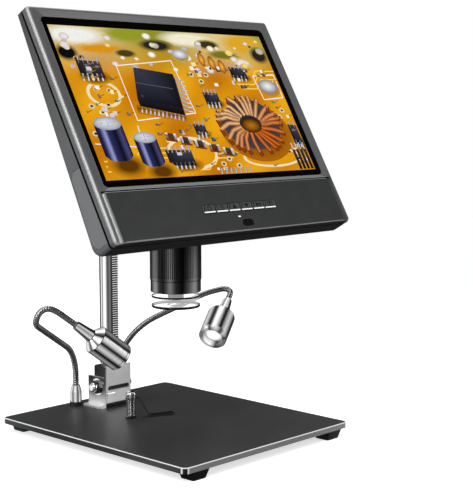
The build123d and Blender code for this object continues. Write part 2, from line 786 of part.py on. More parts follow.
for side_name, neck_end, direction in (
    ("left", left_neck_end, left_lamp_direction),
    ("right", right_neck_end, right_lamp_direction),
):
    lamp_plane = Plane(origin=neck_end, x_dir=direction, z_dir=direction.cross(Vector(0, 0, 1)))
    lamp_axis = Axis(neck_end, direction)
    shoulder = lamp_collar_length + lamp_cone_length
    mouth = shoulder + lamp_body_length
    bore = lamp_diameter / 2 - lamp_wall
    with BuildPart() as lamp_shell:
        with BuildSketch(lamp_plane):
            with BuildLine():
                Polyline(
                    (0, 0),
                    (0, lamp_collar_small / 2),
                    (lamp_collar_length, lamp_collar_large / 2),
                    (shoulder, lamp_diameter / 2),
                    (mouth, lamp_diameter / 2),
                    (mouth, bore),
                    (shoulder + lamp_wall, bore),
                    (shoulder + lamp_wall, 0),
                    close=True,
                )
            make_face()
        revolve(axis=lamp_axis)
    lamp_shell.part.label = f"{side_name}_lamp_shell"
    export_step(lamp_shell.part, f"parts/{side_name}_lamp_shell.step")

    with BuildPart() as lamp_bezel:
        with BuildSketch(lamp_plane):
            with BuildLine():
                Polyline(
                    (mouth - 2 * lamp_bezel_lip, bore - seat_gap),
                    (mouth - 2 * lamp_bezel_lip, bore - lamp_bezel_lip),
                    (mouth + lamp_bezel_length, bore - lamp_bezel_lip - 0.6),
                    (mouth + lamp_bezel_length, lamp_diameter / 2 - 1.0),
                    (mouth + lamp_bezel_length - 1.0, lamp_diameter / 2),
                    (mouth, lamp_diameter / 2),
                    (mouth, bore - seat_gap),
                    close=True,
                )
            make_face()
        revolve(axis=lamp_axis)
    lamp_bezel.part.label = f"{side_name}_lamp_bezel"
    export_step(lamp_bezel.part, f"parts/{side_name}_lamp_bezel.step")

    with BuildPart() as lamp_lens:
        lens_seat = mouth - 2 * lamp_bezel_lip
        lens_back = lens_seat - lamp_lens_thickness
        lens_radius = bore - seat_gap
        dome_radius = bore - lamp_bezel_lip - 1.0
        with BuildSketch(lamp_plane):
            with BuildLine():
                Polyline(
                    (lens_seat + 2 * lamp_bezel_lip, 0),
                    (lens_back, 0),
                    (lens_back, lens_radius),
                    (lens_seat, lens_radius),
                    (lens_seat, dome_radius),
                )
                middle_radius, middle_rise = dome_middle(dome_radius, 2 * lamp_bezel_lip)
                ThreePointArc(
                    (lens_seat, dome_radius),
                    (lens_seat + middle_rise, middle_radius),
                    (lens_seat + 2 * lamp_bezel_lip, 0),
                )
            make_face()
        revolve(axis=lamp_axis)
    lamp_lens.part.label = f"{side_name}_lamp_lens"
    export_step(lamp_lens.part, f"parts/{side_name}_lamp_lens.step")

    with BuildPart() as lamp_board:
        board_back = lens_seat - lamp_lens_thickness - lamp_board_setback
        with BuildSketch(lamp_plane):
            with BuildLine():
                Polyline(
                    (board_back, 0),
                    (board_back, bore - seat_gap),
                    (board_back + lamp_board_thickness, bore - seat_gap),
                    (board_back + lamp_board_thickness, lamp_chip_radius),
                    (board_back + lamp_board_thickness + lamp_chip_height, lamp_chip_radius * 0.85),
                    (board_back + lamp_board_thickness + lamp_chip_height, 0),
                    close=True,
                )
            make_face()
        revolve(axis=lamp_axis)
    lamp_board.part.label = f"{side_name}_lamp_board"
    export_step(lamp_board.part, f"parts/{side_name}_lamp_board.step")

# ================================================================ head: front frame and glass
pocket_width = glass_width + 2 * seat_gap
pocket_height = glass_height + 2 * seat_gap
pocket_depth = glass_thickness + 2 * seat_gap
window_width = pocket_width - 2 * frame_ledge_width
window_height = pocket_height - 2 * frame_ledge_width
panel_width = picture_width + 2 * panel_border
panel_height = picture_height + 2 * panel_border
panel_depth = pocket_depth + frame_ledge_thickness
shell_front_depth = frame_thickness + frame_rear_gap
spigot_inset = shell_wall + seat_gap
boss_places = [
    (side * shell_screw_x, s)
    for side in (-1, 1)
    for s in (head_top_s - shell_screw_end_margin, glass_centre_s, chin_top_s + shell_screw_end_margin)
]

rim_bottom_s = chin_top_s + seat_gap
rim_top_s = head_top_s - frame_rim_width
with BuildPart() as front_frame:
    with BuildSketch(head_plane.offset(-frame_thickness)):
        head_outline()
    extrude(amount=frame_thickness + frame_rim_proud)
    front_edges = front_frame.faces().sort_by(Axis((0, 0, 0), head_plane.z_dir))[-1].edges()
    fillet(front_edges, frame_edge_radius)
    with BuildSketch(head_plane):
        with Locations((0, glass_centre_s)):
            RectangleRounded(pocket_width, pocket_height, glass_corner_radius)
    with BuildSketch(head_plane.offset(frame_rim_proud)):
        with Locations((0, (rim_top_s + rim_bottom_s) / 2)):
            RectangleRounded(head_width - 2 * frame_rim_width, rim_top_s - rim_bottom_s, glass_corner_radius)
    loft(mode=Mode.SUBTRACT)
    with BuildSketch(head_plane):
        with Locations((0, glass_centre_s)):
            RectangleRounded(pocket_width, pocket_height, glass_corner_radius)
    extrude(amount=-pocket_depth, mode=Mode.SUBTRACT)
    with BuildSketch(head_plane):
        with Locations((0, glass_centre_s)):
            RectangleRounded(window_width, window_height, glass_corner_radius / 2)
    extrude(amount=-frame_thickness, mode=Mode.SUBTRACT)
    with BuildSketch(head_plane.offset(-panel_depth)):
        with Locations((0, glass_centre_s)):
            Rectangle(panel_width + 2 * seat_gap, panel_height + 2 * seat_gap)
    extrude(amount=panel_depth - frame_thickness, mode=Mode.SUBTRACT)
    with BuildSketch(head_plane.offset(-frame_thickness)):
        with Locations((0, chin_top_s - chin_height / 2)):
            Rectangle(chin_width, chin_height + 0.01)
    extrude(amount=2 * frame_thickness, mode=Mode.SUBTRACT)
    with BuildSketch(head_plane.offset(-frame_thickness)):
        head_outline(spigot_inset)
        head_outline_inner = spigot_inset + spigot_wall
        with BuildSketch(mode=Mode.PRIVATE) as spigot_hole:
            head_outline(head_outline_inner)
        add(spigot_hole.sketch, mode=Mode.SUBTRACT)
    extrude(amount=-(frame_rear_gap + spigot_reach))
    for place_x, place_s in boss_places:
        boss_end = rear_depth(place_s + shell_boss_diameter / 2) - shell_wall - seat_gap
        with BuildSketch(head_plane.offset(-frame_thickness)):
            with Locations((place_x, place_s)):
                Circle(shell_boss_diameter / 2)
        extrude(amount=-(boss_end - frame_thickness))
        with BuildSketch(head_plane.offset(-frame_thickness - 0.5)):
            with Locations((place_x, place_s)):
                Circle(shell_screw_diameter / 2)
        extrude(amount=-boss_end, mode=Mode.SUBTRACT)
front_frame.part.label = "front_frame"
export_step(front_frame.part, "parts/front_frame.step")

with BuildPart() as display_glass:
    with BuildSketch(head_plane.offset(-seat_gap)):
        with Locations((0, glass_centre_s)):
            RectangleRounded(glass_width, glass_height, glass_corner_radius - seat_gap)
    extrude(amount=-(pocket_depth - seat_gap))
    glass_front = display_glass.faces().sort_by(Axis((0, 0, 0), head_plane.z_dir))[-1]
    chamfer(glass_front.edges(), 0.3)
display_glass.part.label = "display_glass"
export_step(display_glass.part, "parts/display_glass.step")

with BuildPart() as lcd_panel:
    with BuildSketch(head_plane.offset(-panel_depth)):
        with Locations((0, glass_centre_s)):
            Rectangle(panel_width, panel_height)
        for place_x, place_s in boss_places:
            with Locations((place_x, place_s)):
                Circle(shell_boss_diameter / 2 + seat_gap, mode=Mode.SUBTRACT)
    extrude(amount=-panel_thickness)
lcd_panel.part.label = "lcd_panel"
export_step(lcd_panel.part, "parts/lcd_panel.step")

# ================================================================ head: chin, keys, window
chin_centre_s = chin_top_s - chin_height / 2
key_row_length = (key_count - 1) * key_pitch + key_pitch - key_gap
key_places = [(key_row_x + (index - (key_count - 1) / 2) * key_pitch, key_row_s) for index in range(key_count)]
switch_depth = frame_thickness + switch_clearance
key_board_depth = switch_depth + switch_height


def key_outline(centre_x, width, grow):
    """Slanted outline of a key, or of the whole row, grown on every side."""
    half = width / 2 + grow
    rise = key_height / 2 + grow
    slant = key_slant / 2
    Polygon(
        (centre_x - half - slant, key_row_s - rise),
        (centre_x + half - slant, key_row_s - rise),
        (centre_x + half + slant, key_row_s + rise),
        (centre_x - half + slant, key_row_s + rise),
        align=None,
    )


with BuildPart() as chin_panel:
    with BuildSketch(head_plane.offset(-frame_thickness)):
        with Locations((0, chin_centre_s)):
            Rectangle(chin_width - 2 * chin_groove, chin_height - 2 * chin_groove)
    extrude(amount=frame_thickness + chin_proud)
    chin_front = chin_panel.faces().sort_by(Axis((0, 0, 0), head_plane.z_dir))[-1]
    fillet(chin_front.edges().filter_by(Axis.X, reverse=True), chin_end_radius)
    chin_front = chin_panel.faces().sort_by(Axis((0, 0, 0), head_plane.z_dir))[-1]
    fillet(chin_front.edges().filter_by(Axis.X), chin_edge_radius)
    with BuildSketch(head_plane.offset(-frame_thickness)):
        with Locations((0, chin_centre_s)):
            Rectangle(chin_width - 2 * chin_skin_margin, chin_height - chin_skin_margin)
    extrude(amount=frame_thickness + chin_proud - chin_skin, mode=Mode.SUBTRACT)
    with BuildSketch(head_plane.offset(chin_proud)):
        key_outline(key_row_x, key_row_length, key_play)
    extrude(amount=-(chin_skin + 0.01), mode=Mode.SUBTRACT)
    with BuildSketch(head_plane.offset(chin_proud)):
        with Locations((ir_window_x, ir_window_s)):
            SlotOverall(ir_window_length + 2 * seat_gap, ir_window_height + 2 * seat_gap)
    extrude(amount=-(chin_skin + 0.01), mode=Mode.SUBTRACT)
    for offset_x in (-1, 1):
        with BuildSketch(head_plane.offset(-key_board_depth)):
            with Locations((key_row_x + offset_x * (key_row_length / 2 + 5.0), key_row_s)):
                Circle(2.5)
        extrude(amount=key_board_depth + chin_proud - chin_skin)
chin_panel.part.label = "chin_panel"
export_step(chin_panel.part, "parts/chin_panel.step")

for number, (place_x, place_s) in enumerate(key_places, start=1):
    skin_back = chin_proud - chin_skin
    flange_front = skin_back - 0.3
    stem_end = -switch_depth + key_travel + 0.2
    with BuildPart() as key:
        with BuildSketch(head_plane.offset(flange_front)):
            key_outline(place_x, key_pitch - key_gap, 0.0)
        extrude(amount=chin_proud + key_proud - flange_front)
        key_front = key.faces().sort_by(Axis((0, 0, 0), head_plane.z_dir))[-1]
        fillet(key_front.edges(), 0.45)
        with BuildSketch(head_plane.offset(flange_front)):
            with Locations((place_x, place_s)):
                Rectangle(key_pitch - key_gap - 2 * key_slant, key_height + 2.4)
        extrude(amount=-key_flange_thickness)
        with BuildSketch(head_plane.offset(flange_front)):
            with Locations((place_x, place_s)):
                Rectangle(key_stem_size, key_stem_size)
        extrude(amount=stem_end - flange_front)
    key.part.label = f"key_{number}"
    export_step(key.part, f"parts/key_{number}.step")

with BuildPart() as key_board:
    with BuildSketch(head_plane.offset(-key_board_depth)):
        with Locations((key_row_x, key_row_s)):
            Rectangle(key_row_length + 18.0, 16.0)
    extrude(amount=-board_thickness)
    with BuildSketch(head_plane.offset(-key_board_depth)):
        with Locations(*key_places):
            Rectangle(switch_size, switch_size)
    extrude(amount=switch_height)
key_board.part.label = "key_board"
export_step(key_board.part, "parts/key_board.step")

with BuildPart() as ir_window:
    with BuildSketch(head_plane.offset(chin_proud - 0.3)):
        with Locations((ir_window_x, ir_window_s)):
            SlotOverall(ir_window_length, ir_window_height)
    extrude(amount=-(chin_skin - 0.3))
    with BuildSketch(head_plane.offset(chin_proud - chin_skin)):
        with Locations((ir_window_x, ir_window_s)):
            SlotOverall(ir_window_length + 2.0, ir_window_height + 1.6)
    extrude(amount=-1.0)
ir_window.part.label = "ir_window"
export_step(ir_window.part, "parts/ir_window.step")

# ================================================================ head: rear shell and side covers
socket_depth = main_board_depth - usb_height
cover_face_x = head_half - cover_thickness


def cover_outline(grow):
    """Outline of a side cover on the head's flank, grown on every side but the front."""
    cut = cover_corner_cut
    Polygon(
        (cover_top_s + grow, shell_front_depth),
        (cover_top_s + grow, rear_depth(cover_top_s) - cover_rear_margin - cut),
        (cover_top_s - cut + grow / 2, rear_depth(cover_top_s) - cover_rear_margin + grow),
        (cover_bottom_s + 1.7 * cut, rear_depth(cover_bottom_s) - cover_rear_margin + grow),
        (cover_bottom_s - grow, rear_depth(cover_bottom_s) - cover_rear_margin - 1.5 * cut),
        (cover_bottom_s - grow, shell_front_depth),
        align=None,
    )


def socket_openings(grow):
    """Outlines of the two sockets on the head's right flank."""
    with Locations((usb_s, socket_depth + usb_height / 2)):
        RectangleRounded(usb_width + 2 * grow, usb_height + 2 * grow, usb_height / 2)
    with Locations((card_s, main_board_depth - card_height / 2)):
        Rectangle(card_width + 2 * grow, card_height + 2 * grow)


shell_outer = wedge(0.0, shell_front_depth, shell_edge_radius)
shell_inner = wedge(shell_wall, 0.0)

with BuildPart() as rear_shell:
    add(shell_outer)
    add(shell_inner, mode=Mode.SUBTRACT)
    with BuildSketch(side_plane.offset(head_half)):
        cover_outline(cover_groove)
    extrude(amount=-cover_thickness, mode=Mode.SUBTRACT)
    with BuildSketch(side_plane.offset(-head_half)):
        cover_outline(cover_groove)
    extrude(amount=cover_thickness, mode=Mode.SUBTRACT)
    with BuildSketch(side_plane.offset(-head_half)):
        socket_openings(socket_gap)
    extrude(amount=2 * shell_wall, mode=Mode.SUBTRACT)
    for place_x, place_s in boss_places:
        with BuildSketch(head_plane.offset(-rear_depth(place_s) - 1.0)):
            with Locations((place_x, place_s)):
                Circle(shell_screw_diameter / 2 + seat_gap)
        extrude(amount=2 * shell_wall, mode=Mode.SUBTRACT)
        with BuildSketch(head_plane.offset(-rear_depth(place_s) - 1.0)):
            with Locations((place_x, place_s)):
                Circle(shell_screw_head_diameter / 2 + seat_gap)
        extrude(amount=1.0 + shell_screw_head_height, mode=Mode.SUBTRACT)
    for offset_x in (-1, 1):
        for offset_s in (-1, 1):
            boss_x = cover_face_x - shell_wall - main_board_width / 2 + offset_x * (main_board_width / 2 - 6.0)
            boss_s = main_board_s + offset_s * (main_board_height / 2 - 5.0)
            with BuildSketch(head_plane.offset(-main_board_depth - board_thickness)):
                with Locations((boss_x, boss_s)):
                    Circle(3.0)
            extrude(amount=-(rear_depth(boss_s) - shell_wall / 2 - main_board_depth - board_thickness))
rear_shell.part.label = "rear_shell"
export_step(rear_shell.part, "parts/rear_shell.step")

with BuildPart() as side_covers:
    with BuildSketch(side_plane.offset(head_half)):
        cover_outline(0.0)
    extrude(amount=-(cover_thickness - 0.01))
    with BuildSketch(side_plane.offset(-head_half)):
        cover_outline(0.0)
        with BuildSketch(mode=Mode.PRIVATE) as openings:
            socket_openings(socket_gap)
        add(openings.sketch, mode=Mode.SUBTRACT)
    extrude(amount=cover_thickness - 0.01)
side_covers.part.label = "side_covers"
export_step(side_covers.part, "parts/side_covers.step")

with BuildPart() as shell_screws:
    for place_x, place_s in boss_places:
        seat_depth = rear_depth(place_s) - shell_screw_head_height
        with BuildSketch(head_plane.offset(-seat_depth)):
            with Locations((place_x, place_s)):
                Circle(shell_screw_head_diameter / 2)
        extrude(amount=-(shell_screw_head_height - 0.5))
        with BuildSketch(head_plane.offset(-seat_depth)):
            with Locations((place_x, place_s)):
                Circle(shell_screw_diameter / 2 - 0.02)
        extrude(amount=seat_depth - frame_thickness - 1.0)
shell_screws.part.label = "shell_screws"
export_step(shell_screws.part, "parts/shell_screws.step")

with BuildPart() as main_board:
    main_board_x = cover_face_x - shell_wall - main_board_width / 2
    with BuildSketch(head_plane.offset(-main_board_depth)):
        with Locations((main_board_x, main_board_s)):
            Rectangle(main_board_width, main_board_height)
    extrude(amount=-board_thickness)
    with BuildSketch(head_plane.offset(-main_board_depth)):
        with Locations((main_board_x - 20.0, main_board_s)):
            Rectangle(16.0, 16.0)
        with Locations((main_board_x - 40.0, main_board_s + 8.0)):
            Rectangle(9.0, 12.0)
    extrude(amount=1.4)
main_board.part.label = "main_board"
export_step(main_board.part, "parts/main_board.step")

with BuildPart() as usb_socket:
    with BuildSketch(side_plane.offset(-head_half + 0.4)):
        with Locations((usb_s, socket_depth + usb_height / 2)):
            RectangleRounded(usb_width, usb_height, usb_height / 2 - 0.01)
    extrude(amount=socket_length)
    with BuildSketch(side_plane.offset(-head_half + 0.4)):
        with Locations((usb_s, socket_depth + usb_height / 2)):
            RectangleRounded(usb_width - 0.6, usb_height - 0.6, usb_height / 2 - 0.31)
            Rectangle(usb_width - 2.6, 0.7, mode=Mode.SUBTRACT)
    extrude(amount=socket_length - 2.0, mode=Mode.SUBTRACT)
usb_socket.part.label = "usb_socket"
export_step(usb_socket.part, "parts/usb_socket.step")

with BuildPart() as card_socket:
    with BuildSketch(side_plane.offset(-head_half + 0.6)):
        with Locations((card_s, main_board_depth - card_height / 2)):
            Rectangle(card_width, card_height)
            Rectangle(card_width - 1.2, card_height - 1.0, mode=Mode.SUBTRACT)
    extrude(amount=socket_length + 4.0)
card_socket.part.label = "card_socket"
export_step(card_socket.part, "parts/card_socket.step")

# ================================================================ optics
housing_low_s = head_bottom_s + housing_low_rise
housing_back_top = head_plane.from_local_coords((0, housing_top_s, -rear_depth(housing_top_s) + housing_sink))
housing_back_low = head_plane.from_local_coords((0, housing_low_s, -rear_depth(housing_low_s) + housing_sink))
tube_radius = lens_tube_diameter / 2
arm_centre_z = carriage_bottom_z + carriage_height / 2

with BuildPart() as optics_housing:
    with BuildSketch(Plane.YZ):
        with BuildLine():
            Polyline(
                (housing_front_y, deck_z + housing_floor_z),
                (housing_rear_y, deck_z + housing_floor_z),
                (housing_rear_y, deck_z + housing_shoulder_z),
                (housing_back_top.Y, housing_back_top.Z),
                (housing_back_low.Y, housing_back_low.Z),
                close=True,
            )
        make_face()
    extrude(amount=housing_width / 2, both=True)
    rear_edges = optics_housing.edges().filter_by(
        lambda edge: edge.center().Z < deck_z + housing_floor_z + 0.01
        or edge.center().Y > housing_rear_y - 0.01
        or (abs(edge.center().X) > 1 and edge.center().Y > housing_back_top.Y)
    )
    fillet(rear_edges, housing_edge_radius)
    with BuildSketch(Plane.YZ):
        with BuildLine():
            Polyline(
                (housing_front_y + housing_wall, deck_z + housing_floor_z + housing_wall),
                (housing_rear_y - 2 * housing_wall, deck_z + housing_floor_z + housing_wall),
                (housing_rear_y - 2 * housing_wall, deck_z + housing_shoulder_z - housing_wall),
                (housing_back_top.Y, housing_back_top.Z - 2 * housing_wall),
                (housing_back_low.Y + housing_wall, housing_back_low.Z),
                close=True,
            )
        make_face()
    extrude(amount=housing_width / 2 - housing_wall, both=True, mode=Mode.SUBTRACT)
    add(shell_outer, mode=Mode.SUBTRACT)
    add(wedge(0.0, -5.0), mode=Mode.SUBTRACT)
    with Locations((0, optic_axis_y, deck_z + housing_floor_z)):
        Hole(tube_radius + seat_gap, depth=2 * housing_wall)
    with Locations(Plane.XZ.offset(-housing_rear_y)):
        with Locations((0, deck_z + arm_centre_z)):
            with GridLocations(arm_screw_spacing_x, arm_screw_spacing_z, 2, 2):
                Hole(carriage_screw_diameter / 2 + seat_gap, depth=2 * housing_wall)
optics_housing.part.label = "optics_housing"
export_step(optics_housing.part, "parts/optics_housing.step")

with BuildPart() as lens_tube:
    with BuildSketch(level(collar_top_z)):
        with Locations((0, optic_axis_y)):
            Circle(tube_radius)
            Circle(tube_radius - lens_tube_wall, mode=Mode.SUBTRACT)
    extrude(amount=lens_tube_top_z - collar_top_z)
    with BuildSketch(level(lens_tube_top_z)):
        with Locations((0, optic_axis_y)):
            Circle(tube_radius + lens_tube_flange)
            Circle(objective_diameter / 2, mode=Mode.SUBTRACT)
    extrude(amount=lens_tube_wall)
lens_tube.part.label = "lens_tube"
export_step(lens_tube.part, "parts/lens_tube.step")

with BuildPart() as barrel_collar:
    with BuildSketch(level(cap_top_z)):
        with Locations((0, optic_axis_y)):
            Circle(collar_diameter / 2)
    extrude(amount=collar_top_z - cap_top_z)
    fillet(barrel_collar.edges().sort_by(Axis.Z)[0], 0.5)
    chamfer(barrel_collar.edges().sort_by(Axis.Z)[-1], 0.4)
    with BuildSketch(level(collar_top_z)):
        with Locations((0, optic_axis_y)):
            Circle(collar_diameter / 2 - collar_wall)
    extrude(amount=-(collar_top_z - cap_top_z), mode=Mode.SUBTRACT)
    with BuildSketch(level(collar_top_z - 2.0)):
        with Locations((0, optic_axis_y)):
            Circle(collar_diameter / 2 - collar_wall)
            Circle(objective_diameter / 2 + seat_gap, mode=Mode.SUBTRACT)
    extrude(amount=2.0)
barrel_collar.part.label = "barrel_collar"
export_step(barrel_collar.part, "parts/barrel_collar.step")

with BuildPart() as focus_ring:
    ring_floor = collar_top_z + turning_gap
    ring_height = housing_floor_z - turning_gap - ring_floor
    with BuildSketch(level(ring_floor)):
        with Locations((0, optic_axis_y)):
            Circle(focus_ring_diameter / 2)
            with PolarLocations(focus_ring_diameter / 2, focus_rib_count):
                Rectangle(2 * focus_rib_depth, focus_rib_depth, mode=Mode.SUBTRACT)
    extrude(amount=ring_height)
    for band_z in (ring_floor, ring_floor + ring_height - focus_band_height):
        with BuildSketch(level(band_z)):
            with Locations((0, optic_axis_y)):
                Circle(focus_ring_diameter / 2 - seat_gap)
        extrude(amount=focus_band_height)
    with BuildSketch(level(ring_floor)):
        with Locations((0, optic_axis_y)):
            Circle(focus_ring_bore / 2)
    extrude(amount=ring_height, mode=Mode.SUBTRACT)
focus_ring.part.label = "focus_ring"
export_step(focus_ring.part, "parts/focus_ring.step")

with BuildPart() as led_ring:
    led_ring_z = cap_top_z + led_height + 0.4
    with BuildSketch(level(led_ring_z)):
        with Locations((0, optic_axis_y)):
            Circle(collar_diameter / 2 - collar_wall - seat_gap)
            Circle(objective_diameter / 2 + seat_gap, mode=Mode.SUBTRACT)
    extrude(amount=led_board_thickness)
    with BuildSketch(level(led_ring_z)):
        with Locations((0, optic_axis_y)):
            with PolarLocations(clear_cap_diameter / 2 - 7.0, led_count):
                Rectangle(led_size, led_size)
    extrude(amount=-led_height)
led_ring.part.label = "led_ring"
export_step(led_ring.part, "parts/led_ring.step")

with BuildPart() as objective_barrel:
    objective_floor = collar_top_z - objective_length - 2.0
    with BuildSketch(level(objective_floor)):
        with Locations((0, optic_axis_y)):
            Circle(objective_diameter / 2)
    extrude(amount=collar_top_z - objective_floor)
    chamfer(objective_barrel.edges().sort_by(Axis.Z)[0], 0.5)
    with BuildSketch(level(objective_floor)):
        with Locations((0, optic_axis_y)):
            Circle(objective_diameter / 2 - objective_wall)
    extrude(amount=collar_top_z - objective_floor, mode=Mode.SUBTRACT)
objective_barrel.part.label = "objective_barrel"
export_step(objective_barrel.part, "parts/objective_barrel.step")

with BuildPart() as objective_lens:
    lens_radius = objective_diameter / 2 - objective_wall - seat_gap / 2
    lens_floor = deck_z + objective_floor + 1.6
    with BuildSketch(Plane.XZ.offset(-optic_axis_y)):
        with BuildLine():
            Polyline(
                (0, lens_floor),
                (0, lens_floor + 3.0),
                (lens_radius, lens_floor + 3.0),
                (lens_radius, lens_floor + 1.0),
            )
            middle_radius, middle_rise = dome_middle(lens_radius, 1.0)
            ThreePointArc(
                (lens_radius, lens_floor + 1.0),
                (middle_radius, lens_floor + 1.0 - middle_rise),
                (0, lens_floor),
            )
        make_face()
    revolve(axis=Axis((0, optic_axis_y, 0), (0, 0, 1)))
objective_lens.part.label = "objective_lens"
export_step(objective_lens.part, "parts/objective_lens.step")

with BuildPart() as clear_cap:
    cap_radius = clear_cap_diameter / 2
    with BuildSketch(level(cap_bottom_z)):
        with Locations((0, optic_axis_y)):
            Circle(cap_radius)
    extrude(amount=cap_top_z - cap_bottom_z)
    fillet(clear_cap.edges().sort_by(Axis.Z)[0], 1.2)
    with BuildSketch(level(cap_bottom_z + clear_cap_wall)):
        with Locations((0, optic_axis_y)):
            Circle(cap_radius - clear_cap_wall)
    extrude(amount=cap_top_z - cap_bottom_z - clear_cap_wall, mode=Mode.SUBTRACT)
clear_cap.part.label = "clear_cap"
export_step(clear_cap.part, "parts/clear_cap.step")

with BuildPart() as sensor_board:
    with BuildSketch(level(lens_tube_top_z + lens_tube_wall)):
        with Locations((0, optic_axis_y)):
            Rectangle(sensor_board_size, sensor_board_size)
    extrude(amount=board_thickness)
sensor_board.part.label = "sensor_board"
export_step(sensor_board.part, "parts/sensor_board.step")

# ================================================================ carriage and focus drive
with BuildPart() as carriage_block:
    block_depth = column_rear_y + slide_gap - carriage_front_y
    with BuildSketch(level(carriage_bottom_z)):
        with Locations((0, carriage_front_y + block_depth / 2)):
            Rectangle(carriage_width, block_depth)
        channel_depth = column_depth + 2 * slide_gap
        with Locations((0, column_y)):
            Rectangle(column_width + 2 * slide_gap, channel_depth, mode=Mode.SUBTRACT)
    extrude(amount=carriage_height)
    front_corners = carriage_block.edges().filter_by(Axis.Z).group_by(Axis.Y)[0]
    fillet(front_corners, carriage_corner_radius)
    with Locations(Plane.YZ):
        with Locations((pinion_y, pinion_z)):
            Hole(pinion_bore / 2)
carriage_block.part.label = "carriage_block"
export_step(carriage_block.part, "parts/carriage_block.step")

with BuildPart() as gib_plate:
    with BuildSketch(level(carriage_bottom_z)):
        with Locations((0, column_rear_y + slide_gap + gib_thickness / 2)):
            Rectangle(carriage_width, gib_thickness)
    extrude(amount=carriage_height)
    chamfer(gib_plate.edges().filter_by(Axis.Z).group_by(Axis.Y)[-1], 1.0)
    with Locations(Plane.XZ.offset(-column_rear_y - slide_gap - gib_thickness)):
        with Locations((0, deck_z + arm_centre_z)):
            with GridLocations(gib_screw_spacing_x, gib_screw_spacing_z, 2, 2):
                Hole(carriage_screw_diameter / 2 + seat_gap)
gib_plate.part.label = "gib_plate"
export_step(gib_plate.part, "parts/gib_plate.step")

with BuildPart() as head_arm:
    with BuildSketch(Plane.XZ.offset(-housing_rear_y)):
        with Locations((0, deck_z + arm_centre_z)):
            RectangleRounded(arm_flange_width, arm_flange_height, 3.0)
            with GridLocations(arm_screw_spacing_x, arm_screw_spacing_z, 2, 2):
                Circle(carriage_screw_diameter / 2 + seat_gap, mode=Mode.SUBTRACT)
    extrude(amount=-arm_flange_thickness)
    with BuildSketch(Plane.XZ.offset(-housing_rear_y - arm_flange_thickness)):
        with Locations((0, deck_z + arm_centre_z)):
            Rectangle(arm_width, arm_height)
    extrude(amount=-(carriage_front_y - housing_rear_y - arm_flange_thickness))
    neck_edges = head_arm.edges().filter_by(Axis.Y).filter_by(
        lambda edge: edge.length > carriage_front_y - housing_rear_y - arm_flange_thickness - 0.1
    )
    fillet(neck_edges, carriage_corner_radius)
head_arm.part.label = "head_arm"
export_step(head_arm.part, "parts/head_arm.step")

with BuildPart() as carriage_screws:
    gib_rear_y = column_rear_y + slide_gap + gib_thickness
    arm_face_y = housing_rear_y + arm_flange_thickness
    for face_y, spacing_x, spacing_z, grip in (
        (gib_rear_y, gib_screw_spacing_x, gib_screw_spacing_z, gib_thickness),
        (arm_face_y, arm_screw_spacing_x, arm_screw_spacing_z, arm_flange_thickness + 2 * housing_wall),
    ):
        with BuildSketch(Plane.XZ.offset(-face_y)):
            with Locations((0, deck_z + arm_centre_z)):
                with GridLocations(spacing_x, spacing_z, 2, 2):
                    Circle(carriage_screw_head_diameter / 2)
        extrude(amount=-carriage_screw_head_height)
        with BuildSketch(Plane.XZ.offset(-face_y - carriage_screw_head_height)):
            with Locations((0, deck_z + arm_centre_z)):
                with GridLocations(spacing_x, spacing_z, 2, 2):
                    RegularPolygon(carriage_screw_diameter / 2, 6)
        extrude(amount=carriage_screw_head_height * 0.6, mode=Mode.SUBTRACT)
        with BuildSketch(Plane.XZ.offset(-face_y)):
            with Locations((0, deck_z + arm_centre_z)):
                with GridLocations(spacing_x, spacing_z, 2, 2):
                    Circle(carriage_screw_diameter / 2)
        extrude(amount=grip)
carriage_screws.part.label = "carriage_screws"
export_step(carriage_screws.part, "parts/carriage_screws.step")

with BuildPart() as pinion_bushes:
    bush_length = (carriage_width - max(pinion_face_width, column_width)) / 2 - turning_gap
    for side in (-1, 1):
        with BuildSketch(Plane.YZ.offset(side * carriage_width / 2)):
            with Locations((pinion_y, pinion_z)):
                Circle(pinion_bore / 2 - 0.02)
                Circle(pinion_shaft_diameter / 2 + running_gap, mode=Mode.SUBTRACT)
        extrude(amount=-side * bush_length)
pinion_bushes.part.label = "pinion_bushes"
export_step(pinion_bushes.part, "parts/pinion_bushes.step")


def involute_point(base_radius, radius, tooth_half_angle):
    """Point of a tooth's flank at a radius; the tooth's centre line lies along the first axis."""
    roll = sqrt((radius / base_radius) ** 2 - 1)
    polar = roll - atan2(roll, 1)
    angle = tooth_half_angle - polar
    return radius * cos(angle), radius * sin(angle)


with BuildPart() as pinion_shaft:
    base_radius = pitch_radius * cos(pressure_angle)
    tip_radius = pitch_radius + tooth_addendum
    root_radius = pitch_radius - tooth_dedendum
    pitch_half_angle = pi / 2 / pinion_teeth - tooth_backlash / 2 / pitch_radius
    base_half_angle = pitch_half_angle + tan(pressure_angle) - pressure_angle
    flank_steps = 4
    flank = [
        involute_point(base_radius, base_radius + (tip_radius - base_radius) * step / flank_steps, base_half_angle)
        for step in range(flank_steps + 1)
    ]
    root_point = (root_radius * cos(base_half_angle), root_radius * sin(base_half_angle))
    upper = [root_point] + flank
    lower = [(along, -across) for along, across in reversed(upper)]
    with BuildSketch(Plane.YZ.offset(-pinion_face_width / 2)):
        with Locations((pinion_y, pinion_z)):
            Circle(root_radius + 0.01)
            with PolarLocations(0, pinion_teeth):
                Polygon(*upper, *lower, align=None)
    extrude(amount=pinion_face_width)
    shaft_reach = carriage_width / 2 + turning_gap + knob_hub_length + knob_length * knob_bore_share
    with BuildSketch(Plane.YZ.offset(-shaft_reach)):
        with Locations((pinion_y, pinion_z)):
            Circle(pinion_shaft_diameter / 2)
    extrude(amount=2 * shaft_reach)
pinion_shaft.part.label = "pinion_shaft"
export_step(pinion_shaft.part, "parts/pinion_shaft.step")

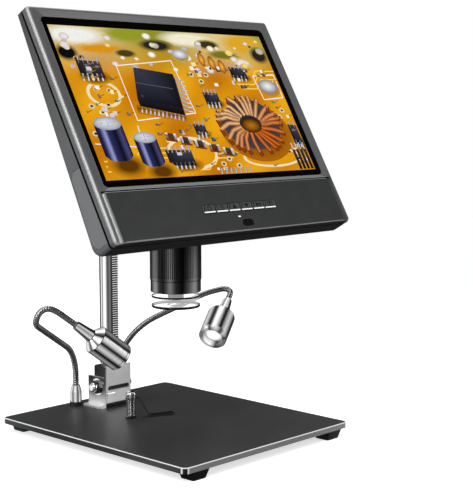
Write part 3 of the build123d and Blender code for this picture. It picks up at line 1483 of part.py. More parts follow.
with BuildPart() as focus_knobs:
    hub_x = carriage_width / 2 + turning_gap
    for side in (-1, 1):
        with BuildSketch(Plane.YZ.offset(side * hub_x)):
            with Locations((pinion_y, pinion_z)):
                Circle(knob_hub_diameter / 2)
        extrude(amount=side * knob_hub_length)
        with BuildSketch(Plane.YZ.offset(side * (hub_x + knob_hub_length))):
            with Locations((pinion_y, pinion_z)):
                Circle(knob_diameter / 2)
                with PolarLocations(knob_diameter / 2, knob_rib_count):
                    Rectangle(2 * knob_rib_depth, knob_rib_depth, mode=Mode.SUBTRACT)
        extrude(amount=side * knob_length)
        with BuildSketch(Plane.YZ.offset(side * (hub_x + knob_hub_length + knob_length))):
            with Locations((pinion_y, pinion_z)):
                Circle(knob_diameter / 2 - knob_face_margin)
        extrude(amount=-side * knob_face_depth, mode=Mode.SUBTRACT)
        with BuildSketch(Plane.YZ.offset(side * hub_x)):
            with Locations((pinion_y, pinion_z)):
                Circle(pinion_shaft_diameter / 2)
        extrude(amount=side * (knob_hub_length + knob_length * knob_bore_share), mode=Mode.SUBTRACT)
focus_knobs.part.label = "focus_knobs"
export_step(focus_knobs.part, "parts/focus_knobs.step")
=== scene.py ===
"""Looks of the LCD digital microscope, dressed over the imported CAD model. Metres, +Z up."""

import random
from math import asin, cos, pi, radians, sin, sqrt, tan

import bmesh
import bpy
from mathutils import Matrix, Vector


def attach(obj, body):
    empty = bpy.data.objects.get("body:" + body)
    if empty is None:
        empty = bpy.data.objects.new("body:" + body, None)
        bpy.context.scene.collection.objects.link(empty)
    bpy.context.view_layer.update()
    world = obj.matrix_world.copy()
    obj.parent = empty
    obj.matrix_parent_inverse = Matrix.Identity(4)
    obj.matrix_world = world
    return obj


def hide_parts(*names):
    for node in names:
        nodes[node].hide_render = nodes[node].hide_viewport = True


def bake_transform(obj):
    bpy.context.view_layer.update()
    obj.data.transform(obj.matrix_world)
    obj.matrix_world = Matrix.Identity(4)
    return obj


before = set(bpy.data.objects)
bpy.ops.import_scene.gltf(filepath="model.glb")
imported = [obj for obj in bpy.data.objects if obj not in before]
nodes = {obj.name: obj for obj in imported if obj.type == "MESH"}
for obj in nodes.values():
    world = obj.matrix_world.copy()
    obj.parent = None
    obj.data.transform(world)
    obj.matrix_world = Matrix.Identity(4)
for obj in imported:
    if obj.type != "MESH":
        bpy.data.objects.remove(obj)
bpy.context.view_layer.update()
MM = 0.001
TO_MM = 1000.0

# The head's front plane: right, up the screen, and out towards the viewer.
HEAD_ORIGIN = Vector((0.0, -0.021, 0.2624))
HEAD_RIGHT = Vector((1.0, 0.0, 0.0))
HEAD_UP = Vector((0.0, 0.5, 0.8660254))
HEAD_OUT = Vector((0.0, -0.8660254, 0.5))

# Places in millimetres: the plate's top, the lens's axis, the ferrules and the lamps' ends.
DECK = 11.5
OPTIC_Y = -3.0
FERRULE_X, FERRULE_Y = 22.5, 94.0
LEFT_END = Vector((-57.6, 49.7, DECK + 77.1))
RIGHT_END = Vector((87.9, 25.1, DECK + 82.8))
LEFT_DIRECTION = Vector((0.756, -0.227, -0.614)).normalized()
RIGHT_DIRECTION = Vector((-0.771, -0.386, -0.506)).normalized()

# Level direction from the stand towards the camera, which the painted reflection bands in the steel are laid out
# for.
TO_CAMERA_X, TO_CAMERA_Y = -0.69, -0.72
COOL = (0.98, 1.0, 1.03)


def on_head(x, s, proud=0.0):
    """Point x right, s up and proud millimetres in front of the head's front plane."""
    return HEAD_ORIGIN + (HEAD_RIGHT * x + HEAD_UP * s + HEAD_OUT * proud) * MM


# ---------------------------------------------------------------- camera
scene = bpy.context.scene
scene.view_settings.view_transform = "Standard"
camera_data = bpy.data.cameras.new("camera")
camera = bpy.data.objects.new("camera", camera_data)
scene.collection.objects.link(camera)
scene.camera = camera
camera_data.sensor_width = 36.0
camera_data.lens = 91.9
camera.location = (-0.6757, -0.7075, 0.2590)
yaw, pitch = radians(46.6), radians(6.36)
gaze = Vector((sin(yaw) * cos(pitch), cos(yaw) * cos(pitch), -sin(pitch)))
camera.rotation_mode = "QUATERNION"
camera.rotation_quaternion = gaze.to_track_quat("-Z", "Y")
camera_data.clip_start, camera_data.clip_end = 0.01, 100.0


# ---------------------------------------------------------------- shader node helpers
def link_chain(tree, *sockets):
    """Link sockets in pairs: output, input, output, input."""
    for start, end in zip(sockets[::2], sockets[1::2]):
        tree.links.new(start, end)


def math_node(tree, operation, *values):
    """Math node whose inputs are numbers or sockets; gives its output."""
    node = tree.nodes.new("ShaderNodeMath")
    node.operation = operation
    for slot, value in enumerate(values):
        if isinstance(value, (int, float)):
            node.inputs[slot].default_value = value
        else:
            tree.links.new(value, node.inputs[slot])
    return node.outputs[0]


def vector_math(tree, operation, vector, constant=None):
    """Vector math of a socket and a constant; dot products and lengths give a number."""
    node = tree.nodes.new("ShaderNodeVectorMath")
    node.operation = operation
    tree.links.new(vector, node.inputs[0])
    if constant is not None:
        node.inputs[1].default_value = constant
    return node.outputs["Value" if operation in ("DOT_PRODUCT", "LENGTH") else "Vector"]


def map_range(tree, value, low, high, to_low=0.0, to_high=1.0):
    """Value mapped from one range to another and held within it."""
    span = tree.nodes.new("ShaderNodeMapRange")
    for name, number in (("From Min", low), ("From Max", high), ("To Min", to_low), ("To Max", to_high)):
        span.inputs[name].default_value = number
    tree.links.new(value, span.inputs["Value"])
    return span.outputs[0]


def coordinate(tree, kind):
    """Texture coordinate of a kind: Object, Normal or Generated."""
    return tree.nodes.new("ShaderNodeTexCoord").outputs[kind]


def axes_of(tree, vector):
    """The X, Y and Z of a vector socket."""
    split = tree.nodes.new("ShaderNodeSeparateXYZ")
    tree.links.new(vector, split.inputs[0])
    return split.outputs["X"], split.outputs["Y"], split.outputs["Z"]


def turn_share(tree, across, ahead):
    """Share of a full turn, 0.5 straight ahead, of the direction with these two parts."""
    turn = math_node(tree, "ARCTAN2", across, ahead)
    return math_node(tree, "ADD", math_node(tree, "DIVIDE", turn, 2 * pi), 0.5)


def ramp_node(tree, factor, stops):
    """Colour ramp over a factor socket; stops are (place, grey or colour)."""
    node = tree.nodes.new("ShaderNodeValToRGB")
    elements = node.color_ramp.elements
    while len(elements) < len(stops):
        elements.new(0.5)
    for element, (place, colour) in zip(elements, stops):
        element.position = place
        if isinstance(colour, (int, float)):
            colour = (colour, colour, colour)
        element.color = (*colour, 1.0)
    tree.links.new(factor, node.inputs[0])
    return node.outputs[0]


def mix_colours(tree, factor, first, second):
    """Mix two colour sockets, colours or greys by a factor socket."""
    node = tree.nodes.new("ShaderNodeMix")
    node.data_type = "RGBA"
    tree.links.new(factor, node.inputs["Factor"])
    for slot, value in ((6, first), (7, second)):
        if isinstance(value, (int, float)):
            node.inputs[slot].default_value = (value, value, value, 1.0)
        elif isinstance(value, tuple):
            node.inputs[slot].default_value = (*value, 1.0)
        else:
            tree.links.new(value, node.inputs[slot])
    return node.outputs[2]


# ---------------------------------------------------------------- studio
# Lights and dark flags round the horizon: (centre, half its width), in shares of a full turn.
SOFT_BOXES = ((0.067, 0.024), (0.378, 0.022), (0.847, 0.022))
UPPER_FLAGS = ((0.035, 0.010), (0.165, 0.020), (0.400, 0.150), (0.640, 0.022), (0.770, 0.026), (0.900, 0.022))
BOX_FADE, FLAG_FADE = 0.022, 0.014
BETWEEN_BOXES, FLAG_TONE = 0.012, 0.02


def stops_round(places, fade, inside, outside):
    """Ramp stops round the horizon: one tone inside each place and another between them."""
    stops = [(0.0, outside)]
    for centre, half in places:
        stops += [(centre - half - fade, outside), (centre - half, inside)]
        stops += [(centre + half, inside), (centre + half + fade, outside)]
    return stops


def soft_boxes():
    return stops_round(SOFT_BOXES, BOX_FADE, 1.0, BETWEEN_BOXES)


def build_world():
    """World: white where it is seen or refracted.

    In mirrors it is a studio of three tall soft boxes between dark flags, under a ceiling box.
    Matt surfaces get soft grey light from the upper left.
    """
    world = bpy.data.worlds.new("studio")
    scene.world = world
    world.use_nodes = True
    tree = world.node_tree
    tree.nodes.clear()
    output = tree.nodes.new("ShaderNodeOutputWorld")
    seen = tree.nodes.new("ShaderNodeBackground")
    lit = tree.nodes.new("ShaderNodeBackground")
    mix = tree.nodes.new("ShaderNodeMixShader")
    rays = tree.nodes.new("ShaderNodeLightPath").outputs
    direction = coordinate(tree, "Generated")
    x, y, height = axes_of(tree, direction)
    turn = turn_share(tree, y, x)
    boxes = ramp_node(tree, turn, soft_boxes())
    low_part = ramp_node(tree, height, [(0.0, 1.0), (0.20, 1.0), (0.34, 0.0)])
    ceiling = ramp_node(tree, turn, stops_round(UPPER_FLAGS, FLAG_FADE, FLAG_TONE, 1.0))
    high_part = ramp_node(tree, height, [(0.34, 0.0), (0.46, 0.9), (0.90, 0.9), (1.0, 0.5)])
    lower = math_node(tree, "MULTIPLY", boxes, low_part)
    upper = math_node(tree, "MULTIPLY", ceiling, high_part)
    mirrored = math_node(tree, "ADD", lower, upper)
    link_chain(tree, mix_colours(tree, rays["Is Glossy Ray"], 1.0, mirrored), seen.inputs["Color"])
    seen.inputs["Strength"].default_value = 1.0
    upper_left = Vector((-0.5, -0.25, 0.83)).normalized()
    toward = vector_math(tree, "DOT_PRODUCT", direction, upper_left)
    toward = math_node(tree, "MULTIPLY_ADD", toward, 0.5, 0.5)
    link_chain(tree, ramp_node(tree, toward, [(0.25, 0.03), (0.55, 0.30), (1.0, 0.62)]), lit.inputs["Color"])
    lit.inputs["Strength"].default_value = 1.0
    shown = math_node(tree, "MAXIMUM", rays["Is Camera Ray"], rays["Is Glossy Ray"])
    shown = math_node(tree, "MAXIMUM", shown, rays["Is Transmission Ray"])
    link_chain(tree, shown, mix.inputs[0], lit.outputs[0], mix.inputs[1], seen.outputs[0], mix.inputs[2])
    link_chain(tree, mix.outputs[0], output.inputs[0])


LAMP_AIM = Vector((0, 0, 0.2))


def area_lamp(name, place, width, height, power):
    """Soft rectangular lamp at a place, aimed at the object."""
    data = bpy.data.lights.new(name, "AREA")
    data.shape = "RECTANGLE"
    data.size, data.size_y = width, height
    data.energy = power
    lamp = bpy.data.objects.new(name, data)
    scene.collection.objects.link(lamp)
    lamp.location = place
    lamp.rotation_mode = "QUATERNION"
    lamp.rotation_quaternion = (LAMP_AIM - Vector(place)).to_track_quat("-Z", "Y")


def floor_white():
    """Pale floor that keeps the object's shadow, white wherever it is seen."""
    material = bpy.data.materials.new("floor_white")
    material.use_nodes = True
    tree = material.node_tree
    tree.nodes.clear()
    output = tree.nodes.new("ShaderNodeOutputMaterial")
    matt = tree.nodes.new("ShaderNodeBsdfDiffuse")
    glow = tree.nodes.new("ShaderNodeEmission")
    both = tree.nodes.new("ShaderNodeAddShader")
    rays = tree.nodes.new("ShaderNodeLightPath").outputs
    indirect = math_node(tree, "MAXIMUM", rays["Is Diffuse Ray"], rays["Is Glossy Ray"])
    link_chain(tree, mix_colours(tree, indirect, 0.80, 0.10), matt.inputs["Color"])
    x, y, _ = axes_of(tree, coordinate(tree, "Object"))
    boxes = ramp_node(tree, turn_share(tree, y, x), soft_boxes())
    mirrored = math_node(tree, "MULTIPLY", rays["Is Glossy Ray"], boxes)
    shown = math_node(tree, "MAXIMUM", rays["Is Camera Ray"], rays["Is Transmission Ray"])
    level = math_node(tree, "MULTIPLY_ADD", shown, 0.66, math_node(tree, "MULTIPLY", mirrored, 0.9))
    link_chain(tree, level, glow.inputs["Strength"])
    link_chain(tree, matt.outputs[0], both.inputs[0], glow.outputs[0], both.inputs[1])
    link_chain(tree, both.outputs[0], output.inputs[0])
    return material


build_world()
area_lamp("lamp_key", (-1.5, -0.9, 1.5), 0.9, 0.9, 22.0)
area_lamp("lamp_side", (-1.6, 0.5, 0.5), 0.35, 1.1, 7.0)
area_lamp("lamp_right", (1.3, -1.5, 0.8), 0.35, 1.1, 9.0)
area_lamp("lamp_top", (0.3, 0.2, 2.0), 1.2, 1.2, 12.0)

FLOOR_RADIUS = 0.9
floor_parts = bmesh.new()
bmesh.ops.create_circle(floor_parts, cap_ends=True, segments=128, radius=FLOOR_RADIUS)
floor_mesh = bpy.data.meshes.new("floor")
floor_parts.to_mesh(floor_mesh)
floor_parts.free()
floor = bpy.data.objects.new("floor", floor_mesh)
scene.collection.objects.link(floor)
floor_mesh.materials.append(floor_white())

# ---------------------------------------------------------------- material helpers
finish = {}


def new_material(name, colour, roughness, metallic=0.0, **sockets):
    """Principled material with constants on its sockets, kept in finish; gives it, its tree and shader."""
    material = bpy.data.materials.new(name)
    material.use_nodes = True
    tree, shader = inside(material)
    shader.inputs["Base Color"].default_value = (*colour, 1.0)
    shader.inputs["Roughness"].default_value = roughness
    shader.inputs["Metallic"].default_value = metallic
    for socket, value in sockets.items():
        shader.inputs[socket.replace("_", " ")].default_value = value
    finish[name] = material
    return material, tree, shader


def inside(material):
    """A material's node tree and its Principled shader."""
    return material.node_tree, material.node_tree.nodes["Principled BSDF"]


def grain(tree, scale, stretch=(1.0, 1.0, 1.0), detail=3.0):
    """Noise in the object's own space, per metre, stretched along its axes; gives the noise value."""
    mapping = tree.nodes.new("ShaderNodeMapping")
    mapping.inputs["Scale"].default_value = [scale * k for k in stretch]
    noise = tree.nodes.new("ShaderNodeTexNoise")
    noise.inputs["Scale"].default_value = 1.0
    noise.inputs["Detail"].default_value = detail
    link_chain(tree, coordinate(tree, "Object"), mapping.inputs[0], mapping.outputs[0], noise.inputs["Vector"])
    return noise.outputs["Fac"]


def add_bump(tree, shader, height, depth):
    """Bump of a height socket, depth metres from black to white."""
    bump = tree.nodes.new("ShaderNodeBump")
    bump.inputs["Distance"].default_value = depth
    bump.inputs["Strength"].default_value = 1.0
    link_chain(tree, height, bump.inputs["Height"], bump.outputs[0], shader.inputs["Normal"])


# The part of a noise's range that its values mostly fill.
NOISE_LOW, NOISE_HIGH = 0.25, 0.75


def vary_colour(tree, shader, noise, low, high):
    """Drive the colour between two colours by a noise value."""
    colour = ramp_node(tree, noise, [(NOISE_LOW, low), (NOISE_HIGH, high)])
    link_chain(tree, colour, shader.inputs["Base Color"])


def vary_roughness(tree, shader, noise, low, high):
    """Drive the roughness between two values by a noise value."""
    link_chain(tree, map_range(tree, noise, NOISE_LOW, NOISE_HIGH, low, high), shader.inputs["Roughness"])


def fine_grain(tree, shader, scale, rough, depth, stretch=(1.0, 1.0, 1.0), detail=3.0):
    """Fine grain that varies the roughness and stands in relief."""
    fine = grain(tree, scale, stretch, detail)
    vary_roughness(tree, shader, fine, *rough)
    add_bump(tree, shader, fine, depth)


def textured(name, low, high, rough, scale, depth, metallic=0.0, stretch=(1.0, 1.0, 1.0), **sockets):
    """Material whose colour and roughness drift a little, with a fine even grain in relief."""
    material, tree, shader = new_material(name, low, rough[0], metallic, **sockets)
    vary_colour(tree, shader, grain(tree, 60.0, detail=4.0), low, high)
    fine_grain(tree, shader, scale, rough, depth, stretch, 2.0)
    return material


def grey(value, tint=(1.0, 1.0, 1.0)):
    return tuple(value * k for k in tint)


def facing_mask(tree, direction, low, high):
    """Value that rises from 0 to 1 as the surface turns towards a direction, between two cosines."""
    turned = vector_math(tree, "DOT_PRODUCT", coordinate(tree, "Normal"), direction)
    return map_range(tree, turned, low, high)


def both_sides(tree, direction, low, high):
    """Facing mask towards a direction and towards its opposite."""
    masks = [facing_mask(tree, side, low, high) for side in (-direction, direction)]
    return math_node(tree, "MAXIMUM", *masks)


def depth_mask(tree, low, high, direction=HEAD_OUT):
    """Value that rises from 0 to 1 between two millimetre places along a direction of the head."""
    offset = vector_math(tree, "SUBTRACT", coordinate(tree, "Object"), HEAD_ORIGIN)
    return map_range(tree, vector_math(tree, "DOT_PRODUCT", offset, direction), low * MM, high * MM)


def masked(tree, shader, socket, mask, value):
    """Blend what feeds a socket towards a value where the mask is 1."""
    fed = shader.inputs[socket].links[0].from_socket
    link_chain(tree, mix_colours(tree, mask, fed, value), shader.inputs[socket])


def axis_distance(tree, point, direction):
    """Distance from an axis, in millimetres, as a socket."""
    offset = vector_math(tree, "SUBTRACT", coordinate(tree, "Object"), point)
    across = vector_math(tree, "CROSS_PRODUCT", offset, direction)
    return math_node(tree, "MULTIPLY", vector_math(tree, "LENGTH", across), TO_MM)


# ---------------------------------------------------------------- painted and plastic finishes
# Black of the painted shade under the head, and of its dark joints.
SHADE_AND_JOINT_BLACK = 0.003


def satin_paint(name, low, high, rough, depth=2.5e-6, joint=(-4.4, -4.7), edge=0.16, upper=0.11):
    """Satin paint: a painted highlight on its rounded edges, painted light and shade up the head, painted shade
    black underneath, black in a joint.

    The joint runs between two millimetre places behind the head's front plane.
    """
    material = textured(name, low, high, rough, 3000, depth, Specular_IOR_Level=0.5)
    tree, shader = inside(material)
    painted_underside_shade = facing_mask(tree, -HEAD_UP, 0.80, 0.97)
    front = facing_mask(tree, HEAD_OUT, 0.25, 0.55)
    flank = both_sides(tree, HEAD_RIGHT, 0.30, 0.60)
    ends = both_sides(tree, HEAD_UP, 0.30, 0.60)
    # Painted highlight where the front turns into the rounded flanks and ends.
    painted_edge_highlight = math_node(tree, "MULTIPLY", front, math_node(tree, "MAXIMUM", flank, ends))
    # Painted light and shade: the colour drifts towards the grey given as upper going up the head.
    masked(tree, shader, "Base Color", depth_mask(tree, -30.0, 66.0, HEAD_UP), upper)
    masked(tree, shader, "Base Color", painted_edge_highlight, edge)
    # Painted shade: the underside is black and matt.
    masked(tree, shader, "Base Color", painted_underside_shade, SHADE_AND_JOINT_BLACK)
    masked(tree, shader, "Roughness", painted_underside_shade, 0.80)
    masked(tree, shader, "Base Color", depth_mask(tree, *joint), SHADE_AND_JOINT_BLACK)


# Parts of a normal that tell the plate's 45 degree bevel, its upright sides and its corners' painted bands of
# highlight and shade.
BEVEL_RISE, BEVEL_SPREAD = 0.707, 0.2
UPRIGHT_RISE = 0.3
CORNER_PALE, CORNER_DARK = 0.14, 0.38


def plate_coat():
    """Fine black powder coat with painted light: a pale bevel, paler front and back ends, and pale bands round a
    black middle at each corner.
    """
    cool_black = (grey(0.030, COOL), grey(0.038, COOL))
    material = textured("powder_coat", *cool_black, (0.40, 0.50), 2600, 2.2e-5, Specular_IOR_Level=0.4)
    tree, shader = inside(material)
    normal = axes_of(tree, coordinate(tree, "Normal"))
    side, ahead, rise = (math_node(tree, "ABSOLUTE", part) for part in normal)
    off_bevel = math_node(tree, "ABSOLUTE", math_node(tree, "SUBTRACT", rise, BEVEL_RISE))
    bevel = math_node(tree, "LESS_THAN", off_bevel, BEVEL_SPREAD)
    upright = math_node(tree, "LESS_THAN", rise, UPRIGHT_RISE)
    end = math_node(tree, "MULTIPLY", upright, math_node(tree, "SMOOTH_MAX", ahead, 0.0, 0.02))
    end = math_node(tree, "POWER", end, 3.0)
    glossier_bevel_and_ends = math_node(tree, "MAXIMUM", bevel, math_node(tree, "MULTIPLY", end, 0.9))
    corner = math_node(tree, "MULTIPLY", math_node(tree, "MULTIPLY", side, ahead), upright)
    # Painted light: paler front and back ends.
    masked(tree, shader, "Base Color", end, 0.27)
    # Painted highlight and shade: a pale band round each corner with a black middle.
    masked(tree, shader, "Base Color", math_node(tree, "GREATER_THAN", corner, CORNER_PALE), 0.85)
    masked(tree, shader, "Base Color", math_node(tree, "GREATER_THAN", corner, CORNER_DARK), 0.01)
    # Painted highlight: a pale bevel along the top edge.
    masked(tree, shader, "Base Color", bevel, 0.80)
    masked(tree, shader, "Roughness", glossier_bevel_and_ends, 0.30)


def key_finish():
    """Satin key tops, with painted shade that makes them black down in the gaps between them."""
    material = textured("key_plastic", grey(0.046, COOL), grey(0.058, COOL), (0.30, 0.38), 2600, 8.0e-6)
    tree, shader = inside(material)
    # Painted shade in the gaps between the keys.
    masked(tree, shader, "Base Color", depth_mask(tree, 1.45, 1.25), 0.002)


def circuit_board(name):
    """Green solder resist with brighter traces in a brick pattern."""
    _, tree, shader = new_material(name, (0.01, 0.10, 0.045), 0.35)
    brick = tree.nodes.new("ShaderNodeTexBrick")
    brick.inputs["Scale"].default_value = 260.0
    brick.inputs["Mortar Size"].default_value = 0.035
    brick.inputs["Color1"].default_value = (0.008, 0.085, 0.038, 1.0)
    brick.inputs["Color2"].default_value = (0.010, 0.110, 0.050, 1.0)
    brick.inputs["Mortar"].default_value = (0.030, 0.210, 0.090, 1.0)
    link_chain(tree, coordinate(tree, "Object"), brick.inputs["Vector"])
    link_chain(tree, brick.outputs["Color"], shader.inputs["Base Color"])
    add_bump(tree, shader, brick.outputs["Fac"], 2.0e-5)
    vary_roughness(tree, shader, grain(tree, 900.0), 0.28, 0.42)


def clear_material(name, tint, roughness, ior):
    """Clear glass with a faint drift in relief."""
    _, tree, shader = new_material(name, tint, roughness, Transmission_Weight=1.0, IOR=ior)
    drift = grain(tree, 120.0)
    vary_colour(tree, shader, drift, tint, tuple(k * 0.985 for k in tint))
    vary_roughness(tree, shader, drift, roughness, roughness + 0.02)
    add_bump(tree, shader, grain(tree, 200.0), 3.0e-6)


def lit_clear(name, tint, alpha):
    """Clear moulded cap, filled with the soft light of the diodes above it."""
    _, tree, shader = new_material(name, grey(tint), 0.06, Alpha=alpha, Emission_Strength=0.60)
    drift = grain(tree, 160.0)
    vary_colour(tree, shader, drift, grey(tint), grey(tint * 0.97))
    vary_roughness(tree, shader, drift, 0.05, 0.09)
    shader.inputs["Emission Color"].default_value = (1.0, 1.0, 1.0, 1.0)
    add_bump(tree, shader, grain(tree, 240.0), 2.0e-6)


def diode_board(name, dice_top):
    """Pale circuit board whose diodes, below a height in millimetres, glow white."""
    material = textured(name, grey(0.42), grey(0.52), (0.30, 0.42), 900, 4.0e-6)
    tree, shader = inside(material)
    height = axes_of(tree, coordinate(tree, "Object"))[2]
    dice = math_node(tree, "LESS_THAN", height, dice_top * MM)
    glow = mix_colours(tree, dice, (0.0, 0.0, 0.0), (1.0, 0.96, 0.86))
    link_chain(tree, glow, shader.inputs["Emission Color"])
    shader.inputs["Emission Strength"].default_value = 1.6


def glow_lens(name, point, direction):
    """Lamp lens: a bright centre that fades to clear pale plastic at the rim."""
    _, tree, shader = new_material(name, (0.9, 0.9, 0.9), 0.12, Specular_IOR_Level=0.5)
    lens_radius = 10.0
    share = math_node(tree, "DIVIDE", axis_distance(tree, point, direction), lens_radius)
    glow = [(0.0, (1.0, 1.0, 0.98)), (0.52, (0.92, 0.92, 0.90)), (0.78, 0.30), (0.92, 0.10)]
    link_chain(tree, ramp_node(tree, share, glow), shader.inputs["Emission Color"])
    plastic = [(0.0, 0.8), (0.6, 0.72), (0.85, 0.42), (1.0, 0.55)]
    link_chain(tree, ramp_node(tree, share, plastic), shader.inputs["Base Color"])
    shader.inputs["Emission Strength"].default_value = 0.85
    add_bump(tree, shader, grain(tree, 500.0), 1.0e-5)


# ---------------------------------------------------------------- banded steel
def glowing_colour(tree, shader, colour):
    """One colour for the surface and for its low painted glow."""
    link_chain(tree, colour, shader.inputs["Base Color"], colour, shader.inputs["Emission Color"])


def drawn_steel(name, stops):
    """Bright drawn bar steel with painted reflections in lengthwise bands and a low painted glow: stops are (y
    in millimetres, grey).
    """
    _, tree, shader = new_material(name, grey(0.6), 0.2, 0.5, Specular_IOR_Level=0.1, Emission_Strength=0.25)
    low, high = stops[0][0], stops[-1][0]
    y = axes_of(tree, coordinate(tree, "Object"))[1]
    share = math_node(tree, "MULTIPLY_ADD", y, TO_MM / (high - low), -low / (high - low))
    streaks = grain(tree, 900.0, (1.0, 1.0, 0.02))
    waver = math_node(tree, "MULTIPLY", math_node(tree, "SUBTRACT", streaks, 0.5), 0.01)
    share = math_node(tree, "ADD", share, waver)
    shares = [((y - low) / (high - low), tone) for y, tone in stops]
    glowing_colour(tree, shader, ramp_node(tree, share, shares))
    vary_roughness(tree, shader, streaks, 0.14, 0.22)
    add_bump(tree, shader, streaks, 2.0e-6)


def band_stops(bands):
    """Ramp stops round an axis from (place, grey).

    Seen from the front, -1 and 1 are the flanks and 0 is the middle. The far side repeats every other band.
    """
    near = [(0.5 + asin(place) / (2 * pi), tone) for place, tone in bands]
    far = [(turn - 0.5 if turn > 0.5 else turn + 0.5, tone) for turn, tone in near[::2]]
    stops = sorted(near + [stop for stop in far if not 0.25 < stop[0] < 0.75])
    return [(0.0, stops[-1][1])] + stops


LINE_HALF = 0.22
LINE_TONE = 0.01


def turned_steel(name, point, axis, front, zones, metallic=0.35, rough=(0.20, 0.30), glow=0.22, level=0.08):
    """Bright turned metal with painted reflections in lengthwise bands round an axis, and a low painted glow.

    Each zone is (start along the axis in millimetres, bands), with a thin dark line where a zone starts.
    """
    material, tree, shader = new_material(
        name, grey(0.6), 0.2, metallic, Specular_IOR_Level=level, Emission_Strength=glow)
    along = Vector(axis).normalized()
    ahead = (Vector(front) - along * along.dot(Vector(front))).normalized()
    offset = vector_math(tree, "SUBTRACT", coordinate(tree, "Object"), point)
    parts = [vector_math(tree, "DOT_PRODUCT", offset, way) for way in (ahead, along.cross(ahead), along)]
    turn = turn_share(tree, parts[1], parts[0])
    reach = math_node(tree, "MULTIPLY", parts[2], TO_MM)
    colour = ramp_node(tree, turn, band_stops(zones[0][1]))
    for start, bands in zones[1:]:
        beyond = math_node(tree, "GREATER_THAN", reach, start)
        gap = math_node(tree, "ABSOLUTE", math_node(tree, "SUBTRACT", reach, start))
        colour = mix_colours(tree, beyond, colour, ramp_node(tree, turn, band_stops(bands)))
        colour = mix_colours(tree, math_node(tree, "LESS_THAN", gap, LINE_HALF), colour, LINE_TONE)
    glowing_colour(tree, shader, colour)
    fine_grain(tree, shader, 1400.0, rough, 1.0e-6)
    return material


# Painted reflections round the barrel: (place across it as seen from the front, grey).
BARREL_BANDS = [
    (-0.99, 0.002), (-0.94, 0.02), (-0.85, 0.46), (-0.76, 0.46), (-0.66, 0.07), (-0.49, 0.001), (-0.37, 0.12),
    (-0.22, 0.42), (-0.12, 0.22), (0.0, 0.05), (0.14, 0.02), (0.27, 0.001), (0.41, 0.08), (0.57, 0.28),
    (0.72, 0.52), (0.80, 0.50), (0.87, 0.10), (0.96, 0.05),
]
RIB_TOP, RIB_FOOT = 20.10, 19.80


def barrel_finish(name, ribbed):
    """Glossy black barrel with painted reflections in lengthwise bands; painted shade keeps the grooves between
    its ribs dark.
    """
    axis_point = Vector((0.0, OPTIC_Y, 0.0)) * MM
    upward = (0.0, 0.0, 1.0)
    material = turned_steel(
        name, axis_point, upward, (TO_CAMERA_X, TO_CAMERA_Y, 0.0), [(0.0, BARREL_BANDS)],
        metallic=0.15, rough=(0.30, 0.38), glow=0.0, level=0.12)
    if ribbed:
        tree, shader = inside(material)
        groove = map_range(tree, axis_distance(tree, axis_point, upward), RIB_TOP, RIB_FOOT)
        # Painted shade in the grooves between the ribs.
        masked(tree, shader, "Base Color", groove, 0.006)


# Painted reflections round each ferrule: (place across it as seen from the front, grey).
FERRULE_BANDS = [
    (-0.93, 0.01), (-0.66, 1.0), (-0.40, 0.01), (-0.05, 1.0), (0.20, 0.85), (0.50, 0.01), (0.76, 1.0),
    (0.95, 0.01),
]


def ferrule_steel(name):
    """Turned steel of the two ferrules, with painted reflections banded round each one's own axis and mirrored
    from one to the other, and a low painted glow.
    """
    _, tree, shader = new_material(name, grey(0.8), 0.2, 0.35, Specular_IOR_Level=0.1, Emission_Strength=0.2)
    x, y, _ = axes_of(tree, coordinate(tree, "Object"))
    side = math_node(tree, "SUBTRACT", math_node(tree, "ABSOLUTE", x), FERRULE_X * MM)
    back = math_node(tree, "SUBTRACT", y, FERRULE_Y * MM)
    across = math_node(tree, "SUBTRACT", math_node(tree, "MULTIPLY", side, -TO_CAMERA_Y),
                       math_node(tree, "MULTIPLY", back, TO_CAMERA_X))
    ahead = math_node(tree, "SUBTRACT", math_node(tree, "MULTIPLY", side, -TO_CAMERA_X),
                      math_node(tree, "MULTIPLY", back, -TO_CAMERA_Y))
    glowing_colour(tree, shader, ramp_node(tree, turn_share(tree, across, ahead), band_stops(FERRULE_BANDS)))
    fine_grain(tree, shader, 1400.0, (0.2, 0.3), 1.0e-6)


# Painted light and shade up the sides of the folded bracket: (millimetres above the plate, grey), in a ramp this
# tall.
FLANK_SHADES = ((0.0, 0.30), (3.0, 0.95), (7.0, 0.75), (12.0, 0.30), (17.0, 0.16), (22.0, 0.05), (30.0, 0.03))
FLANK_RAMP_HEIGHT = 60.0


def folded_steel(name):
    """Bright sheet: its front is pale, its sides carry painted shade and light from dark at the top to bright at
    the foot, all with a low painted glow.
    """
    material = textured(name, grey(0.78), grey(0.90), (0.20, 0.28), 700, 2.0e-6, 0.4, stretch=(0.03, 0.03, 1.0))
    tree, shader = inside(material)
    height = axes_of(tree, coordinate(tree, "Object"))[2]
    height = math_node(tree, "MULTIPLY", height, TO_MM / FLANK_RAMP_HEIGHT)
    shade = ramp_node(tree, height, [((DECK + z) / FLANK_RAMP_HEIGHT, tone) for z, tone in FLANK_SHADES])
    masked(tree, shader, "Base Color", both_sides(tree, HEAD_RIGHT, 0.5, 0.8), shade)
    link_chain(tree, shader.inputs["Base Color"].links[0].from_socket, shader.inputs["Emission Color"])
    shader.inputs["Emission Strength"].default_value = 0.08


# ---------------------------------------------------------------- finishes
# Painted reflections in lengthwise bands across the rack column: (y in millimetres, grey).
COLUMN_BANDS = [
    (68.0, 1.0), (68.5, 1.0), (68.7, 0.03), (69.7, 0.03), (70.7, 0.04), (71.9, 0.17), (73.1, 0.11),
    (74.3, 0.08), (75.4, 0.08), (76.7, 0.45), (77.6, 1.0), (80.2, 1.0), (81.0, 0.30), (81.5, 0.14),
    (82.0, 0.5), (82.7, 0.95), (83.3, 0.4), (83.9, 0.06), (85.0, 0.03), (85.8, 0.1),
]
